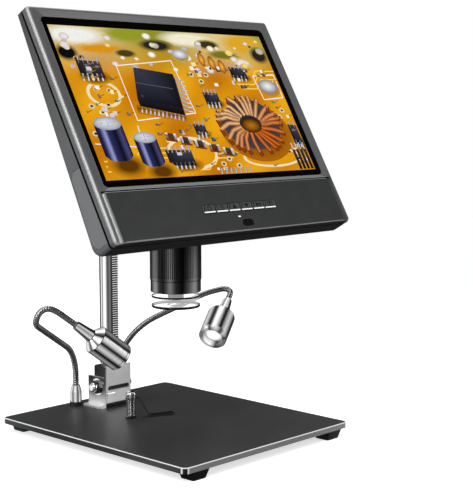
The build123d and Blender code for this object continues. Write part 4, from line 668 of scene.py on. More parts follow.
# Directions each lamp's painted reflection bands face, then the painted reflection bands of its collar, cone,
# body and mouth.
LEFT_FRONT = (-0.348, -0.934, -0.083)
RIGHT_FRONT = (-0.215, -0.591, 0.778)
LEFT_COLLAR = [
    (-0.95, 0.02), (-0.66, 0.01), (-0.39, 1.0), (-0.10, 0.35), (0.39, 1.0), (0.66, 0.01), (0.95, 0.4),
]
LEFT_CONE = [
    (-0.85, 1.0), (-0.65, 0.10), (-0.43, 0.003), (-0.16, 1.0), (0.03, 1.0), (0.24, 0.004), (0.48, 1.0),
    (0.58, 1.0), (0.76, 0.008), (0.95, 0.9),
]
LEFT_BODY = [
    (-0.97, 0.05), (-0.85, 0.40), (-0.65, 0.002), (-0.56, 0.06), (-0.36, 1.0), (-0.26, 0.95), (-0.06, 0.004),
    (0.04, 0.07), (0.24, 1.0), (0.36, 1.0), (0.57, 0.008), (0.66, 0.03), (0.84, 0.75), (0.96, 0.02),
]
RIGHT_COLLAR = [
    (-0.90, 0.01), (-0.58, 0.01), (-0.30, 1.0), (0.25, 1.0), (0.52, 0.01), (0.72, 1.0), (0.95, 0.02),
]
RIGHT_BODY = [
    (-0.97, 0.10), (-0.85, 0.006), (-0.64, 1.0), (-0.54, 1.0), (-0.26, 0.002), (-0.15, 0.045), (0.05, 0.85),
    (0.25, 1.0), (0.44, 0.10), (0.55, 0.002), (0.64, 0.07), (0.85, 1.0), (0.96, 0.55),
]
RIGHT_MOUTH = [
    (-0.96, 0.30), (-0.88, 0.03), (-0.60, 1.0), (-0.35, 0.02), (0.0, 1.0), (0.30, 0.6), (0.50, 0.05),
    (0.74, 1.0), (0.97, 0.35),
]
# A lamp's collar, cone and body start at these millimetres along it; its bezel's line is at the last.
CONE_START, BODY_START, BEZEL_LINE = 15.3, 20.7, 45.9
SHELL_JOINT = (-6.55, -6.35)
DIODE_TOP = DECK + 103.4 + 1.28

plate_coat()
textured("rubber", grey(0.006), grey(0.010), (0.62, 0.78), 1800, 3.0e-5, Specular_IOR_Level=0.25)
textured("chrome", grey(0.84, COOL), grey(0.90, COOL), (0.10, 0.15), 300, 1.0e-6, 1.0)
drawn_steel("column_steel", COLUMN_BANDS)
folded_steel("sheet_steel")
textured("dark_steel", grey(0.030), grey(0.045), (0.20, 0.30), 1500, 6.0e-6, 0.6)
textured("spring_steel", grey(0.30), grey(0.42), (0.16, 0.24), 1500, 3.0e-6, 1.0)
textured("shaft_steel", grey(0.50), grey(0.60), (0.18, 0.26), 900, 4.0e-6, 1.0)
textured("black_plastic", grey(0.009), grey(0.014), (0.36, 0.46), 2200, 1.5e-5, Specular_IOR_Level=0.4)
barrel_finish("barrel_plastic", False)
barrel_finish("ribbed_plastic", True)
ferrule_steel("ferrule_steel")
# The edge greys are painted highlights; the upper greys paint light and shade up the head.
satin_paint("head_paint", grey(0.105, COOL), grey(0.120, COOL), (0.20, 0.27), edge=0.45)
satin_paint(
    "shell_paint", grey(0.105, COOL), grey(0.120, COOL), (0.42, 0.52), 1.4e-5, SHELL_JOINT, upper=0.055)
satin_paint("cover_paint", grey(0.170, COOL), grey(0.190, COOL), (0.42, 0.52), 1.4e-5, SHELL_JOINT)
satin_paint("chin_paint", grey(0.036, COOL), grey(0.043, COOL), (0.20, 0.27), edge=0.34)
key_finish()
textured(
    "window_plastic", (0.006, 0.005, 0.007), (0.010, 0.008, 0.011), (0.05, 0.09), 400, 1.0e-6,
    Coat_Weight=0.6, Coat_Roughness=0.03)
textured("panel_glass", grey(0.0008), grey(0.0014), (0.06, 0.09), 300, 1.0e-6, Specular_IOR_Level=0.3)
textured("anodised", grey(0.022), grey(0.030), (0.32, 0.42), 2400, 6.0e-6, 0.7)
textured(
    "brass", (0.60, 0.43, 0.15), (0.70, 0.51, 0.20), (0.20, 0.30), 1200, 3.0e-6, 1.0, stretch=(0.1, 1.0, 1.0))
circuit_board("board")
lit_clear("cap_plastic", 0.95, 0.16)
diode_board("diode_board", DIODE_TOP)
# Black of painted reflections in the clear cap, and a faint grey for a ring near its floor.
textured("painted_dark_reflection", grey(0.004), grey(0.010), (0.10, 0.16), 700, 2.0e-6)
textured("faint_grey_ring", grey(0.30), grey(0.40), (0.10, 0.16), 700, 2.0e-6)
# Painted highlight: pale, with a low glow, for the keys' lower edges and the dot by the infrared window.
textured(
    "painted_highlight", grey(0.86), grey(0.94), (0.22, 0.30), 900, 2.0e-6,
    Emission_Color=(1.0, 1.0, 1.0, 1.0), Emission_Strength=0.22)
# Ink of the key signs, also used for the painted shade bar beside each key.
textured("ink_and_painted_shade", grey(0.001), grey(0.003), (0.55, 0.65), 900, 2.0e-6, Specular_IOR_Level=0.15)
clear_material("lens_glass", (0.80, 0.84, 0.95), 0.02, 1.52)
turned_steel("left_steel", LEFT_END * MM, LEFT_DIRECTION, LEFT_FRONT, [
    (0.0, LEFT_COLLAR), (CONE_START, LEFT_CONE), (BODY_START, LEFT_BODY), (BEZEL_LINE, LEFT_BODY)])
turned_steel("right_steel", RIGHT_END * MM, RIGHT_DIRECTION, RIGHT_FRONT, [
    (0.0, RIGHT_COLLAR), (CONE_START, RIGHT_COLLAR), (BODY_START, RIGHT_BODY)])
turned_steel("right_mouth", RIGHT_END * MM, RIGHT_DIRECTION, RIGHT_FRONT, [(0.0, RIGHT_MOUTH)], glow=0.25)
glow_lens("left_glow", LEFT_END * MM, LEFT_DIRECTION)
glow_lens("right_glow", RIGHT_END * MM, RIGHT_DIRECTION)
neck_steel = textured("neck_steel", grey(0.30, COOL), grey(0.38, COOL), (0.15, 0.22), 900, 2.0e-6, 1.0)

NODES_OF_FINISH = {
    "powder_coat": "base_plate",
    "rubber": "rubber_feet",
    "chrome": "base_screws clamp_bolt clamp_washers clip_nut usb_socket card_socket",
    "sheet_steel": "column_bracket",
    "dark_steel": "clamp_nuts clip_post clip_spring lcd_panel shell_screws carriage_screws",
    "black_plastic": "column_foot column_cap ferrule_bases optics_housing lens_tube focus_knobs",
    "column_steel": "rack_column",
    "spring_steel": "stage_clip",
    "ferrule_steel": "neck_ferrules",
    "shaft_steel": "left_neck right_neck pinion_shaft",
    "left_steel": "left_lamp_shell left_lamp_bezel",
    "right_steel": "right_lamp_shell",
    "right_mouth": "right_lamp_bezel",
    "left_glow": "left_lamp_lens",
    "right_glow": "right_lamp_lens",
    "board": "left_lamp_board right_lamp_board key_board main_board sensor_board",
    "head_paint": "front_frame",
    "panel_glass": "display_glass",
    "chin_paint": "chin_panel",
    "key_plastic": "key_1 key_2 key_3 key_4 key_5 key_6",
    "window_plastic": "ir_window",
    "shell_paint": "rear_shell",
    "cover_paint": "side_covers",
    "barrel_plastic": "barrel_collar",
    "ribbed_plastic": "focus_ring",
    "diode_board": "led_ring",
    "lens_glass": "objective_lens",
    "cap_plastic": "clear_cap",
    "anodised": "objective_barrel carriage_block gib_plate head_arm",
    "brass": "pinion_bushes",
}
for finish_name, covered in NODES_OF_FINISH.items():
    for node_name in covered.split():
        for slot in nodes[node_name].material_slots:
            slot.material = finish[finish_name]


# ---------------------------------------------------------------- mesh helpers
def piece_from(name, mesh_parts, body, materials, smooth=True):
    """Piece made of a bmesh, riding on a body."""
    mesh = bpy.data.meshes.new(name)
    mesh_parts.to_mesh(mesh)
    mesh_parts.free()
    for material in materials:
        mesh.materials.append(material)
    for polygon in mesh.polygons:
        polygon.use_smooth = smooth
    obj = bpy.data.objects.new(name, mesh)
    scene.collection.objects.link(obj)
    if body:
        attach(obj, body)
    return obj


def path_frames(points):
    """Tangent and two cross directions at each point, carried along without twist."""
    tangents = []
    for index in range(len(points)):
        ahead = points[min(index + 1, len(points) - 1)]
        behind = points[max(index - 1, 0)]
        tangents.append((ahead - behind).normalized())
    side = tangents[0].orthogonal().normalized()
    frames = []
    for tangent in tangents:
        side = (side - tangent * side.dot(tangent)).normalized()
        frames.append((tangent, side, tangent.cross(side)))
    return frames


def tube(points, radius_at, around=20):
    """Closed bmesh tube along points in metres; radius_at(distance, angle) gives its radius in metres."""
    parts = bmesh.new()
    frames = path_frames(points)
    travelled = 0.0
    rings = []
    for index, (point, (tangent, side, other)) in enumerate(zip(points, frames)):
        if index:
            travelled += (point - points[index - 1]).length
        ring = []
        for step in range(around):
            angle = 2 * pi * step / around
            radius = radius_at(travelled, angle)
            ring.append(parts.verts.new(point + (side * cos(angle) + other * sin(angle)) * radius))
        rings.append(ring)
    for first, second in zip(rings, rings[1:]):
        for step in range(around):
            after = (step + 1) % around
            parts.faces.new((first[step], first[after], second[after], second[step]))
    parts.faces.new(list(reversed(rings[0])))
    parts.faces.new(rings[-1])
    return parts


def rounded_route(corners, radii, spacing):
    """Points along a route whose inner corners are rounded, in the corners' own unit."""
    dense = [corners[0]]
    for corner, before, after, radius in zip(corners[1:-1], corners, corners[2:], radii):
        back = (before - corner).normalized()
        ahead = (after - corner).normalized()
        half = back.angle(ahead) / 2
        reach = radius / tan(half)
        centre = corner + (back + ahead).normalized() * (radius / sin(half))
        start = corner + back * reach - centre
        end = corner + ahead * reach - centre
        sweep = start.angle(end)
        axis = start.cross(end).normalized()
        count = max(3, int(radius * sweep / spacing))
        for step in range(count + 1):
            dense.append(centre + Matrix.Rotation(sweep * step / count, 3, axis) @ start)
    dense.append(corners[-1])
    return resample(dense, spacing)


def resample(points, spacing):
    """Evenly spaced points along a polyline."""
    lengths = [0.0]
    for first, second in zip(points, points[1:]):
        lengths.append(lengths[-1] + (second - first).length)
    count = max(2, round(lengths[-1] / spacing))
    found, index = [], 0
    for step in range(count + 1):
        target = lengths[-1] * step / count
        while index < len(points) - 2 and lengths[index + 1] < target:
            index += 1
        span = lengths[index + 1] - lengths[index] or 1.0
        share = (target - lengths[index]) / span
        found.append(points[index].lerp(points[index + 1], min(1.0, max(0.0, share))))
    return found


def relaxed(points, rounds):
    """The same line with its bends eased, its two ends kept."""
    line = [p.copy() for p in points]
    for _ in range(rounds):
        line = [line[0], line[1]] + [
            (line[i - 1] + line[i] * 2 + line[i + 1]) / 4 for i in range(2, len(line) - 2)
        ] + [line[-2], line[-1]]
    return line


# ---------------------------------------------------------------- goosenecks
NECK_RADIUS = 2.5
WIND_PITCH = 1.9
GROOVE_DEPTH, GROOVE_SHARPNESS = 0.34, 1.6
ROUTE_STEP, EASING_ROUNDS = 0.24, 60


def wound_radius(distance, angle):
    """Round wire wound in a spiral: full between the turns' grooves."""
    phase = (distance / MM / WIND_PITCH + angle / (2 * pi)) % 1.0
    crown = abs(sin(pi * phase))
    return (NECK_RADIUS - GROOVE_DEPTH * (1.0 - crown) ** GROOVE_SHARPNESS) * MM


def gooseneck(side, corners, radii, bend):
    """Two wound pieces split past the neck's sharp turn: one rides on the arm, the other rides on no body."""
    line = relaxed(rounded_route(corners, radii, ROUTE_STEP), EASING_ROUNDS)
    line = resample(line, ROUTE_STEP)
    split_index = min(range(len(line)), key=lambda i: (line[i] - bend).length)
    line = [p * MM for p in line]
    lower = line[: split_index + 1]
    upper = line[split_index:]
    reached = sum((b - a).length for a, b in zip(lower, lower[1:]))
    base = piece_from(f"{side}_gooseneck_base", tube(lower, wound_radius), f"{side}_arm", [neck_steel])
    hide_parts(f"{side}_neck")
    tip = piece_from(
        f"{side}_gooseneck_tip", tube(upper, lambda d, a: wound_radius(d + reached, a)), None, [neck_steel]
    )
    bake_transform(tip)


# Millimetres above the plate where a neck leaves its ferrule, and short of the lamp where it ends.
NECK_START, NECK_GAP = 14.1, 0.3
left_bend = LEFT_END - LEFT_DIRECTION * 19.3
right_bend = RIGHT_END - RIGHT_DIRECTION * 20.0
gooseneck(
    "left",
    [
        Vector((-FERRULE_X, FERRULE_Y, DECK + NECK_START)),
        Vector((-FERRULE_X, FERRULE_Y, DECK + 44.0)),
        Vector((-89.3, 62.0, DECK + 80.7)),
        Vector((-83.1, 58.0, DECK + 94.8)),
        left_bend,
        LEFT_END - LEFT_DIRECTION * NECK_GAP,
    ],
    [30.0, 8.4, 8.4, 40.0],
    left_bend,
)
gooseneck(
    "right",
    [
        Vector((FERRULE_X, FERRULE_Y, DECK + NECK_START)),
        Vector((FERRULE_X, FERRULE_Y, DECK + 33.1)),
        Vector((37.0, 83.0, DECK + 60.8)),
        Vector((84.3, 47.3, DECK + 87.6)),
        right_bend,
        RIGHT_END - RIGHT_DIRECTION * NECK_GAP,
    ],
    [50.0, 60.0, 60.0, 6.5],
    right_bend,
)

# ---------------------------------------------------------------- clip spring
COIL_TURNS, STEPS_A_TURN = 12, 24
COIL_X, COIL_Y, COIL_RADIUS, WIRE_RADIUS = -20.6, 27.8, 3.05, 0.53
coil_bottom, coil_top = DECK + 1.2 + 0.62, DECK + 1.2 + 14.6 - 0.55
coil_points = []
for step in range(COIL_TURNS * STEPS_A_TURN + 1):
    share = step / (COIL_TURNS * STEPS_A_TURN)
    angle = 2 * pi * COIL_TURNS * share
    coil_height = coil_bottom + (coil_top - coil_bottom) * share
    coil_points.append(
        Vector((COIL_X + COIL_RADIUS * cos(angle), COIL_Y + COIL_RADIUS * sin(angle), coil_height)) * MM)
coil_parts = tube(coil_points, lambda d, a: WIRE_RADIUS * MM, around=10)
coil = piece_from("clip_coil", coil_parts, "stand", [finish["spring_steel"]])
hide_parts("clip_spring")

# ---------------------------------------------------------------- clear cap and keys
def lathed(name, profile, body, material, around=72):
    """Ring about the optical axis from a closed outline of (radius, height) in millimetres."""
    parts = bmesh.new()
    rings = []
    for step in range(around):
        angle = 2 * pi * step / around
        places = [Vector((r * cos(angle), OPTIC_Y + r * sin(angle), DECK + z)) * MM for r, z in profile]
        rings.append([parts.verts.new(place) for place in places])
    count = len(profile)
    for step, ring in enumerate(rings):
        after = rings[(step + 1) % around]
        for index in range(count):
            nxt = (index + 1) % count
            parts.faces.new((ring[index], after[index], after[nxt], ring[nxt]))
    return piece_from(name, parts, body, [finish[material]])


# Rings in the clear cap: black painted reflections in its wall at the rim and at a step, and a faint grey ring
# near its floor.
RIM_PROFILE = [
    (18.2, 91.0), (18.7, 91.1), (19.08, 91.7), (19.12, 92.9), (19.03, 93.2), (18.9, 92.9), (18.9, 92.0),
]
STEP_PROFILE = [(18.95, 99.1), (19.1, 99.3), (19.12, 100.4), (18.95, 100.7)]
EYE_PROFILE = [(5.6, 92.65), (6.9, 92.65), (6.8, 93.0), (5.7, 93.0)]
cap_rim = lathed("cap_rim", RIM_PROFILE, "head", "painted_dark_reflection")
cap_step = lathed("cap_step", STEP_PROFILE, "head", "painted_dark_reflection")
cap_eye = lathed("cap_eye", EYE_PROFILE, "head", "faint_grey_ring")

KEY_ROW_X, KEY_ROW_S, KEY_PITCH = 4.8, -90.8, 13.15
KEY_FACE = 1.9


def head_prism(parts, outline, low, high, slope=0.0):
    """Low prism on the head from an outline of (x, s), its top drawn in by slope towards its centre."""
    centre = (sum(x for x, _ in outline) / len(outline), sum(s for _, s in outline) / len(outline))
    base = [parts.verts.new(on_head(x, s, low)) for x, s in outline]
    top = []
    for x, s in outline:
        reach = sqrt((x - centre[0]) ** 2 + (s - centre[1]) ** 2) or 1.0
        share = 1.0 - slope / reach
        drawn_in = (centre[0] + (x - centre[0]) * share, centre[1] + (s - centre[1]) * share)
        top.append(parts.verts.new(on_head(*drawn_in, high)))
    parts.faces.new(top)
    parts.faces.new(list(reversed(base)))
    for index in range(len(outline)):
        after = (index + 1) % len(outline)
        parts.faces.new((base[index], base[after], top[after], top[index]))


def arc_band(centre, radius, width, start, end, count=20):
    """Outlines of the short quads that make an arc of a given width; angles in degrees."""
    quads = []
    for step in range(count):
        first = radians(start + (end - start) * step / count)
        last = radians(start + (end - start) * (step + 1) / count)
        inner, outer = radius - width / 2, radius + width / 2
        quads.append([
            (centre[0] + inner * cos(first), centre[1] + inner * sin(first)),
            (centre[0] + outer * cos(first), centre[1] + outer * sin(first)),
            (centre[0] + outer * cos(last), centre[1] + outer * sin(last)),
            (centre[0] + inner * cos(last), centre[1] + inner * sin(last)),
        ])
    return quads


def bar(x0, s0, x1, s1, width):
    """Outline of a straight bar of a given width."""
    across = Vector((s0 - s1, x1 - x0)).normalized() * (width / 2)
    first = [(x0 + across.x, s0 + across.y), (x0 - across.x, s0 - across.y)]
    return first + [(x1 - across.x, s1 - across.y), (x1 + across.x, s1 + across.y)]


def key_signs(number, x, s):
    """Outlines of a key's generic sign: power, lines, up, down, play and pause, frame."""
    if number == 1:
        return arc_band((x, s), 1.45, 0.5, 125, 415) + [bar(x, s + 0.2, x, s + 2.0, 0.5)]
    if number == 2:
        return [bar(x - 1.6, s + d, x + 1.6, s + d, 0.5) for d in (-1.2, 0.0, 1.2)]
    if number == 3:
        return [[(x - 1.7, s - 1.1), (x + 1.7, s - 1.1), (x, s + 1.6)]]
    if number == 4:
        return [[(x - 1.7, s + 1.1), (x, s - 1.6), (x + 1.7, s + 1.1)]]
    if number == 5:
        pause = [bar(x + d, s - 1.4, x + d, s + 1.4, 0.5) for d in (1.0, 1.9)]
        return [[(x - 1.9, s - 1.4), (x + 0.4, s), (x - 1.9, s + 1.4)]] + pause
    border = [bar(x - 2.0, s + d, x + 2.0, s + d, 0.45) for d in (-1.4, 1.4)]
    border += [bar(x + d, s - 1.2, x + d, s + 1.2, 0.45) for d in (-1.8, 1.8)]
    return border + arc_band((x, s), 0.7, 0.4, 0, 360, 12)


SIGN_SIZE = 1.25
# Bounds in millimetres of the painted highlight strip along each key's lower edge.
EDGE_LOW, EDGE_HIGH = -93.85, -92.85
# Bounds in millimetres of the painted shade bar in the gap at each key's left, and its width.
SHADE_LOW, SHADE_HIGH, SHADE_WIDTH = -93.7, -87.9, 0.9
for number in range(1, 7):
    centre_x = KEY_ROW_X + (number - 3.5) * KEY_PITCH
    # Painted highlight: a pale glowing strip along the key's lower edge.
    edge = bmesh.new()
    left, right = centre_x - 6.3, centre_x + 5.25
    edge_outline = [(left, EDGE_LOW), (right, EDGE_LOW), (right + 0.25, EDGE_HIGH), (left + 0.25, EDGE_HIGH)]
    head_prism(edge, edge_outline, KEY_FACE - 0.25, KEY_FACE + 0.06, 0.12)
    strip = piece_from(f"key_{number}_edge", edge, f"key_{number}", [finish["painted_highlight"]], smooth=False)
    signs_and_shade = bmesh.new()
    for outline in key_signs(number, 0.0, 0.0):
        placed = [(centre_x + 0.3 + SIGN_SIZE * x, KEY_ROW_S + 0.55 + SIGN_SIZE * s) for x, s in outline]
        head_prism(signs_and_shade, placed, KEY_FACE - 0.2, KEY_FACE + 0.03)
    # Painted shade: a dark slanted bar down the key's left side, in the gap beside it.
    foot, head = left + 0.3, left + 1.5
    shade = [
        (foot, SHADE_LOW), (foot + SHADE_WIDTH, SHADE_LOW), (head + SHADE_WIDTH, SHADE_HIGH), (head, SHADE_HIGH),
    ]
    head_prism(signs_and_shade, shade, KEY_FACE - 0.2, KEY_FACE + 0.02)
    sign = piece_from(f"key_{number}_sign", signs_and_shade, f"key_{number}", [finish["ink_and_painted_shade"]], smooth=False)

# Painted highlight: a pale glowing dot at the upper left of the infrared window.
light = bmesh.new()
light_outline = [(0.2 + 1.5 * cos(radians(a)), -98.6 + 0.75 * sin(radians(a))) for a in range(0, 360, 20)]
head_prism(light, light_outline, 1.2, 1.46, 0.15)
window_glint_piece = piece_from("window_glint_dot", light, "head", [finish["painted_highlight"]], smooth=False)

# ---------------------------------------------------------------- screen picture
# A made-up close view of a circuit board: flat coloured shapes on the glass, lit from behind.
PICTURE_LEFT, PICTURE_RIGHT, PICTURE_LOW, PICTURE_HIGH = -112.36, 110.36, -62.64, 62.64
picture_parts = bmesh.new()
tints = picture_parts.loops.layers.float_color.new("tint")
# Millimetres of the picture's first layer before the head's front plane, and the step to each next layer.
layer_rise = [-0.055]
LAYER_STEP = 0.006
SMALLEST_AREA = 0.02


def tone(red, green, blue):
    """Linear colour from 0 to 255 screen values."""
    shares = [value / 255 for value in (red, green, blue)]
    return Vector([((k + 0.055) / 1.055) ** 2.4 if k > 10 / 255 else k / 12.92 for k in shares])


def kept_in(x, s):
    return min(max(x, PICTURE_LEFT), PICTURE_RIGHT), min(max(s, PICTURE_LOW), PICTURE_HIGH)


def paint(points, colours):
    """Shape on the screen with a colour, or one for each corner."""
    points = [kept_in(*point) for point in points]
    if isinstance(colours, Vector):
        colours = [colours] * len(points)
    flat = {(round(x, 3), round(s, 3)) for x, s in points}
    area = sum(a[0] * b[1] - b[0] * a[1] for a, b in zip(points, points[1:] + points[:1])) / 2
    if len(flat) < len(points) or abs(area) < SMALLEST_AREA:
        return
    if area < 0:
        points, colours = points[::-1], colours[::-1]
    face = picture_parts.faces.new([picture_parts.verts.new(on_head(x, s, layer_rise[0])) for x, s in points])
    for loop, colour in zip(face.loops, colours):
        loop[tints] = (*colour, 1.0)


def next_layer():
    layer_rise[0] += LAYER_STEP


def board_tone(x, s):
    """Colour of the bare board at a place: amber, paler and greener where it runs out of focus."""
    wave = 0.5 + 0.25 * sin(0.061 * x + 0.043 * s + 1.1) + 0.25 * sin(0.093 * x - 0.117 * s + 4.0)
    amber = tone(196, 116, 4).lerp(tone(240, 172, 22), wave)
    far = min(1.0, max(0.0, (s - 22.0) / 34.0))
    haze = tone(226, 206, 140).lerp(tone(150, 146, 40), 0.5 + 0.5 * sin(0.045 * x + 2.2))
    return amber.lerp(haze, far)


def spot(x, s, wide, high, colour, soft=0.6, turned=0.0, sides=26):
    """Disc whose rim melts into the board; soft is the share of the radius that fades."""
    rings = []
    for share, blend in ((1.0 - soft, 0.0), (1.0 - soft / 2, 0.5), (1.0, 1.0)):
        ring = []
        for step in range(sides):
            angle = 2 * pi * step / sides
            a, b = wide * share * cos(angle), high * share * sin(angle)
            place = (x + a * cos(turned) - b * sin(turned), s + a * sin(turned) + b * cos(turned))
            ring.append((place, colour.lerp(board_tone(*kept_in(*place)), blend)))
        rings.append(ring)
    for step in range(sides):
        after = (step + 1) % sides
        paint([(x, s), rings[0][step][0], rings[0][after][0]], colour)
        for inner, outer in zip(rings, rings[1:]):
            corners = (inner[step], outer[step], outer[after], inner[after])
            paint([c[0] for c in corners], [c[1] for c in corners])


def oval(x, s, wide, high, inner, outer, sides=26):
    """Disc shaded from its centre colour to its rim colour."""
    for step in range(sides):
        first, last = 2 * pi * step / sides, 2 * pi * (step + 1) / sides
        rim = [(x + wide * cos(angle), s + high * sin(angle)) for angle in (first, last)]
        paint([(x, s)] + rim, [inner, outer, outer])


def line(points, width, colour, edge=None):
    """Stroke of a given width through points; with an edge colour it is shaded like a round wire."""
    for (x0, s0), (x1, s1) in zip(points, points[1:]):
        if (x1 - x0) ** 2 + (s1 - s0) ** 2 < 0.01:
            continue
        across = Vector((s0 - s1, x1 - x0)).normalized() * (width / 2)
        middle = [(x0, s0), (x1, s1)]
        for side in (-1, 1):
            rim = [(x1 + side * across.x, s1 + side * across.y), (x0 + side * across.x, s0 + side * across.y)]
            paint(middle + rim, [colour, colour, edge or colour, edge or colour])


BLACK, WHITE = tone(12, 11, 16), tone(252, 250, 246)
SILVER, STEEL = tone(206, 208, 220), tone(92, 94, 112)
COPPER, RUST, SPARK = tone(226, 112, 34), tone(74, 24, 8), tone(255, 206, 150)
PICTURE_WIDTH, PICTURE_HEIGHT = PICTURE_RIGHT - PICTURE_LEFT, PICTURE_HIGH - PICTURE_LOW
COLUMNS, ROWS = 56, 32
for column in range(COLUMNS):
    for row in range(ROWS):
        cell = [
            (PICTURE_LEFT + PICTURE_WIDTH * (column + a) / COLUMNS,
             PICTURE_LOW + PICTURE_HEIGHT * (row + b) / ROWS)
            for a, b in ((0, 0), (1, 0), (1, 1), (0, 1))
        ]
        paint(cell, [board_tone(*corner) for corner in cell])

# out-of-focus far side: pale connectors, dark packages and round glints
next_layer()
chance = random.Random(41)
for x, s, wide, high, colour in (
    (-92, 55, 34, 9, tone(244, 244, 240)), (-40, 58, 26, 8, tone(150, 156, 40)),
    (22, 56, 34, 8, tone(246, 240, 214)),
    (86, 54, 30, 12, tone(226, 170, 40)), (-70, 44, 30, 5, tone(222, 150, 20)),
    (58, 43, 22, 5, tone(120, 118, 30)),
):
    spot(x, s, wide, high, colour, 0.5)
next_layer()
for x, s, wide, high, colour in (
    (-104, 40, 12, 8, BLACK), (-14, 49, 20, 6, tone(36, 34, 34)),
    (44, 52, 15, 5, tone(60, 50, 30)), (100, 44, 12, 9, tone(40, 36, 32)),
    (-48, 41, 12, 4, tone(70, 62, 24)), (76, 36, 10, 4, tone(236, 232, 226)),
):
    spot(x, s, wide, high, colour, 0.45)
next_layer()
GLINT_TONES = (WHITE, tone(236, 230, 250), tone(255, 226, 130), tone(190, 190, 206), BLACK)
for _ in range(46):
    x, s = chance.uniform(-108, 106), chance.uniform(24, 58)
    size = chance.uniform(1.2, 3.4)
    spot(x, s, size * 1.5, size, chance.choice(GLINT_TONES), 0.55, sides=14)

# board face: traces, vias, white outlines
next_layer()
for start, rise, run in (
    (-108, -56, 60), (-108, -52, 66), (-108, -48, 58), (-30, -58, 42),
    (-26, -54, 50), (60, 16, 40), (56, 20, 46), (64, 12, 34),
):
    bend = start + run * 0.5
    trace = [(start, rise), (bend, rise), (bend + 9, rise + 9), (start + run + 9, rise + 9)]
    line(trace, 1.0, tone(255, 214, 92))
for x, s, wide, high in ((-84, 6, 16, 11), (66, -50, 34, 9), (-20, -44, 26, 14)):
    oval(x, s, wide, high, tone(250, 236, 206), tone(244, 226, 180))
next_layer()
for x, s, wide, high in ((-84, 6, 13, 8.6), (66, -50, 31, 7), (-20, -44, 23, 11.4)):
    oval(x, s, wide, high, tone(236, 168, 24), tone(228, 150, 14))
for corners in (
    [(-62, -16), (-62, 30), (-4, 36), (0, -10), (-62, -16)],
    [(84, 2), (108, 4), (108, 26), (82, 24), (84, 2)],
    [(-110, -34), (-66, -38), (-64, -20)],
):
    line(corners, 0.8, WHITE)
VIAS = (
    (-100, -4), (-92, -9), (-84, -3), (-78, 9), (-90, 10), (8, -54), (16, -50), (24, -56), (88, -46), (96, -52),
    (100, -8), (94, -14), (12, 24), (20, 18), (28, 24), (36, 30), (-106, -26), (-98, -28),
)
for x, s in VIAS:
    oval(x, s, 3.0, 2.2, tone(250, 240, 200), tone(214, 196, 150), 16)
next_layer()
for x, s in VIAS:
    oval(x, s, 1.4, 1.0, BLACK, tone(60, 44, 20), 12)

# square many-legged chip, seen from one corner
next_layer()
top = [(-54, 2), (-46, 29), (-8, 24), (-12, -6)]
line([(-58, -6), (-12, -14)], 9.0, tone(120, 70, 6), tone(206, 130, 14))
for index in range(11):
    share = (index + 0.5) / 11
    x, s = -54 + 42 * share, 2 - 8 * share
    line([(x, s - 2), (x - 0.6, s - 7)], 2.0, SILVER, STEEL)
    line([(x - 0.6, s - 7), (x - 2.4, s - 11)], 2.0, WHITE, STEEL)
for index in range(8):
    share = (index + 0.5) / 8
    x, s = -12 + 4 * share, -6 + 30 * share
    line([(x + 1, s - 2), (x + 6, s - 4.5)], 2.0, SILVER, STEEL)
    line([(x + 6, s - 4.5), (x + 9.5, s - 5)], 1.8, WHITE, STEEL)
next_layer()
paint([top[0], (-54, -4), (-12, -12), top[3]], [tone(30, 28, 36), BLACK, BLACK, tone(30, 28, 36)])
paint([top[3], (-12, -12), (-7.6, 19), top[2]], [tone(44, 44, 56), BLACK, BLACK, tone(60, 58, 70)])
next_layer()
paint(top, [tone(26, 26, 34), tone(58, 60, 78), tone(24, 24, 30), tone(16, 15, 20)])
next_layer()
oval(-48, 4.6, 2.4, 1.8, tone(70, 72, 88), tone(20, 20, 26), 16)
line([(-50, 16), (-14, 11)], 0.7, tone(84, 86, 104))

# flat coil of copper wire round a dark core
CENTRE_X, CENTRE_S = 56.0, -20.0
next_layer()
oval(CENTRE_X + 3, CENTRE_S - 7, 40, 27, tone(60, 30, 4), tone(176, 104, 10), 40)
next_layer()
oval(CENTRE_X, CENTRE_S, 33, 23, tone(30, 28, 30), tone(70, 66, 70), 40)
next_layer()
TURNS = 24
for index in range(TURNS):
    angle = 2 * pi * index / TURNS + 0.09 * sin(5.0 * index)
    bend = angle + 0.20
    inner = (CENTRE_X + 12.5 * cos(angle), CENTRE_S + 7.8 * sin(angle))
    swell = (CENTRE_X + 25.0 * cos((angle + bend) / 2), CENTRE_S + 17.5 * sin((angle + bend) / 2) + 2.0)
    outer = (CENTRE_X + 36.5 * cos(bend), CENTRE_S + 25.5 * sin(bend))
    low = (CENTRE_X + 34.5 * cos(bend + 0.05), CENTRE_S + 24.0 * sin(bend + 0.05) - 5.0)
    glint = COPPER.lerp(SPARK, 0.5 + 0.5 * cos(angle - 2.1))
    line([outer, low], 4.0, RUST.lerp(COPPER, 0.35), RUST)
    line([inner, swell, outer], 4.6, glint, RUST)
next_layer()
oval(CENTRE_X, CENTRE_S - 1.5, 11.5, 6.6, tone(190, 118, 16), tone(40, 18, 6), 30)

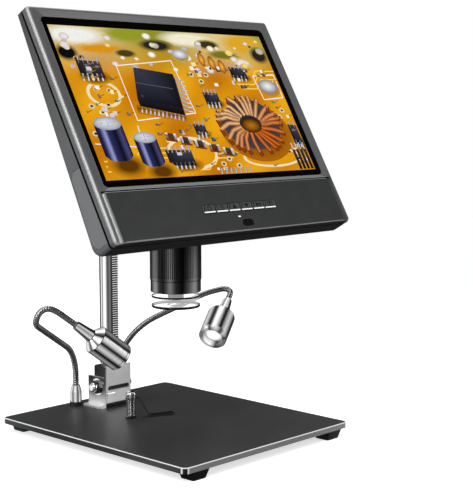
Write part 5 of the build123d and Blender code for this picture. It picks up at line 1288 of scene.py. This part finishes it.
# small dark packages with pale legs, and loose small parts between the large ones
SMALL_PACKAGES = (
    (-88, 27, 11, 7, 5), (24, 3, 8, 5.5, 4), (-34, -47, 13, 6.5, 6),
    (66, 27, 9, 5, 4), (104, -30, 5, 9, 2), (-2, -24, 6, 4.5, 3),
)
next_layer()
for x, s, wide, high, _ in SMALL_PACKAGES:
    spot(x + 2, s - high, wide * 1.5, high, tone(104, 62, 8), 0.5, sides=16)
next_layer()
for x, s, wide, high, legs in SMALL_PACKAGES:
    for index in range(legs):
        foot = x - wide + 2 * wide * (index + 0.5) / legs
        line([(foot, s - high * 0.6), (foot - 1.0, s - high - 3.4)], 1.9, WHITE, STEEL)
        line([(foot, s + high * 0.6), (foot + 0.8, s + high + 2.6)], 1.6, SILVER, STEEL)
    body = [(x - wide, s - high), (x + wide, s - high - 1.0), (x + wide, s + high - 1.0), (x - wide, s + high)]
    paint(body, [BLACK, BLACK, tone(66, 68, 84), tone(34, 34, 42)])
next_layer()
LOOSE_TONES = (WHITE, BLACK, tone(255, 232, 150), tone(120, 74, 6), tone(206, 206, 220), tone(96, 110, 24))
for _ in range(150):
    x, s = chance.uniform(-108, 106), chance.uniform(-60, 34)
    clear_of_coil = ((x - CENTRE_X) / 42) ** 2 + ((s - CENTRE_S) / 32) ** 2 > 1.0
    clear_of_chip = not (-62 < x < 2 and -16 < s < 34)
    clear_of_cans = not (-108 < x < -48 and -62 < s < -12)
    if clear_of_coil and clear_of_chip and clear_of_cans:
        wide, high = chance.uniform(0.8, 2.6), chance.uniform(0.7, 1.8)
        colour = chance.choice(LOOSE_TONES)
        body = [(x - wide, s - high), (x + wide, s - high), (x + wide, s + high), (x - wide, s + high)]
        paint(body, [colour, colour, colour.lerp(WHITE, 0.3), colour])
        line([(x + wide, s), (x + wide + 4.0, s + 1.6)], 0.6, tone(150, 96, 6))

# two standing cans and a row of small end-capped blocks
CAN_STRIPES = (
    (-1.0, BLACK), (-0.72, tone(40, 44, 92)), (-0.42, tone(150, 156, 206)), (-0.22, tone(44, 46, 96)),
    (0.35, BLACK), (0.72, tone(70, 72, 120)), (1.0, BLACK),
)
for x, s, wide, tall in ((-92, -44, 13, 26), (-62, -50, 11, 20)):
    next_layer()
    spot(x + 5, s - 8, wide * 1.5, wide * 0.8, tone(96, 56, 6), 0.6)
    next_layer()
    for (a, first), (b, last) in zip(CAN_STRIPES, CAN_STRIPES[1:]):
        low_a, low_b = -0.36 * sqrt(1 - a * a), -0.36 * sqrt(1 - b * b)
        foot = [(x + a * wide, s + low_a * wide), (x + b * wide, s + low_b * wide)]
        paint(foot + [(x + b * wide, s + tall), (x + a * wide, s + tall)], [first, last, last, first])
    next_layer()
    oval(x, s + tall, wide, wide * 0.42, WHITE, tone(150, 152, 166), 30)
    next_layer()
    oval(x - 1, s + tall + 0.4, wide * 0.72, wide * 0.28, tone(232, 234, 240), tone(186, 188, 202), 26)
    line([(x - wide * 0.5, s + tall), (x + wide * 0.5, s + tall + 0.8)], 0.7, STEEL)
    line([(x, s + tall - wide * 0.22), (x, s + tall + wide * 0.26)], 0.7, STEEL)
next_layer()
for index in range(5):
    x, s = -36 + index * 13.5, -30 - index * 3.4
    paint([(x - 5.4, s - 3.2), (x + 5.4, s - 4.6), (x + 6.0, s + 1.4), (x - 4.8, s + 2.8)], tone(112, 60, 8))
    left_end = [(x - 5.0, s - 1.8), (x - 2.6, s - 2.1), (x - 2.0, s + 3.4), (x - 4.4, s + 3.7)]
    paint(left_end, [STEEL, SILVER, WHITE, WHITE])
    middle = [(x - 2.6, s - 2.1), (x + 3.0, s - 2.8), (x + 3.6, s + 2.7), (x - 2.0, s + 3.4)]
    paint(middle, [BLACK, BLACK, tone(70, 68, 78), tone(52, 50, 58)])
    right_end = [(x + 3.0, s - 2.8), (x + 5.4, s - 3.1), (x + 6.0, s + 2.4), (x + 3.6, s + 2.7)]
    paint(right_end, [STEEL, SILVER, WHITE, WHITE])

# small silver oval can, orange discs on edge and a dark connector on the right
next_layer()
oval(96, 12, 12, 7.5, tone(120, 116, 110), tone(196, 140, 30), 28)
oval(8, 40, 9, 5, tone(90, 84, 76), tone(196, 170, 80), 24)
next_layer()
oval(95, 14.6, 11, 6.4, WHITE, tone(130, 132, 148), 28)
oval(8, 42, 8, 4.2, tone(250, 250, 255), tone(160, 160, 176), 24)
for x, s in ((30, 38), (40, 35), (50, 32)):
    oval(x, s, 3.6, 6.4, tone(255, 190, 60), tone(150, 60, 6), 22)
for index in range(5):
    x = 92 + index * 4.6
    slat = [(x, -62), (x + 3.2, -62), (x + 3.2, -44), (x, -44)]
    paint(slat, [BLACK, BLACK, tone(56, 54, 66), tone(40, 38, 48)])
    line([(x + 1.6, -44), (x + 1.6, -38)], 1.5, WHITE, STEEL)
for index in range(7):
    x = 2 + index * 5.2
    line([(x, -62.5), (x + 1.2, -57.5)], 2.0, SILVER, STEEL)

picture_material, tree, shader = new_material("picture_board", (0.0, 0.0, 0.0), 0.14, Specular_IOR_Level=0.2)
shader.inputs["Emission Strength"].default_value = 1.0
painted = tree.nodes.new("ShaderNodeAttribute")
painted.attribute_name = "tint"
speck = ramp_node(tree, grain(tree, 700.0, detail=2.0), [(0.3, 0.90), (0.7, 1.0)])
dot = tree.nodes.new("ShaderNodeMix")
dot.data_type = "RGBA"
dot.blend_type = "MULTIPLY"
dot.inputs["Factor"].default_value = 1.0
link_chain(tree, painted.outputs["Color"], dot.inputs[6], speck, dot.inputs[7])
link_chain(tree, dot.outputs[2], shader.inputs["Emission Color"])
picture = piece_from("screen_picture", picture_parts, "head", [picture_material], smooth=False)
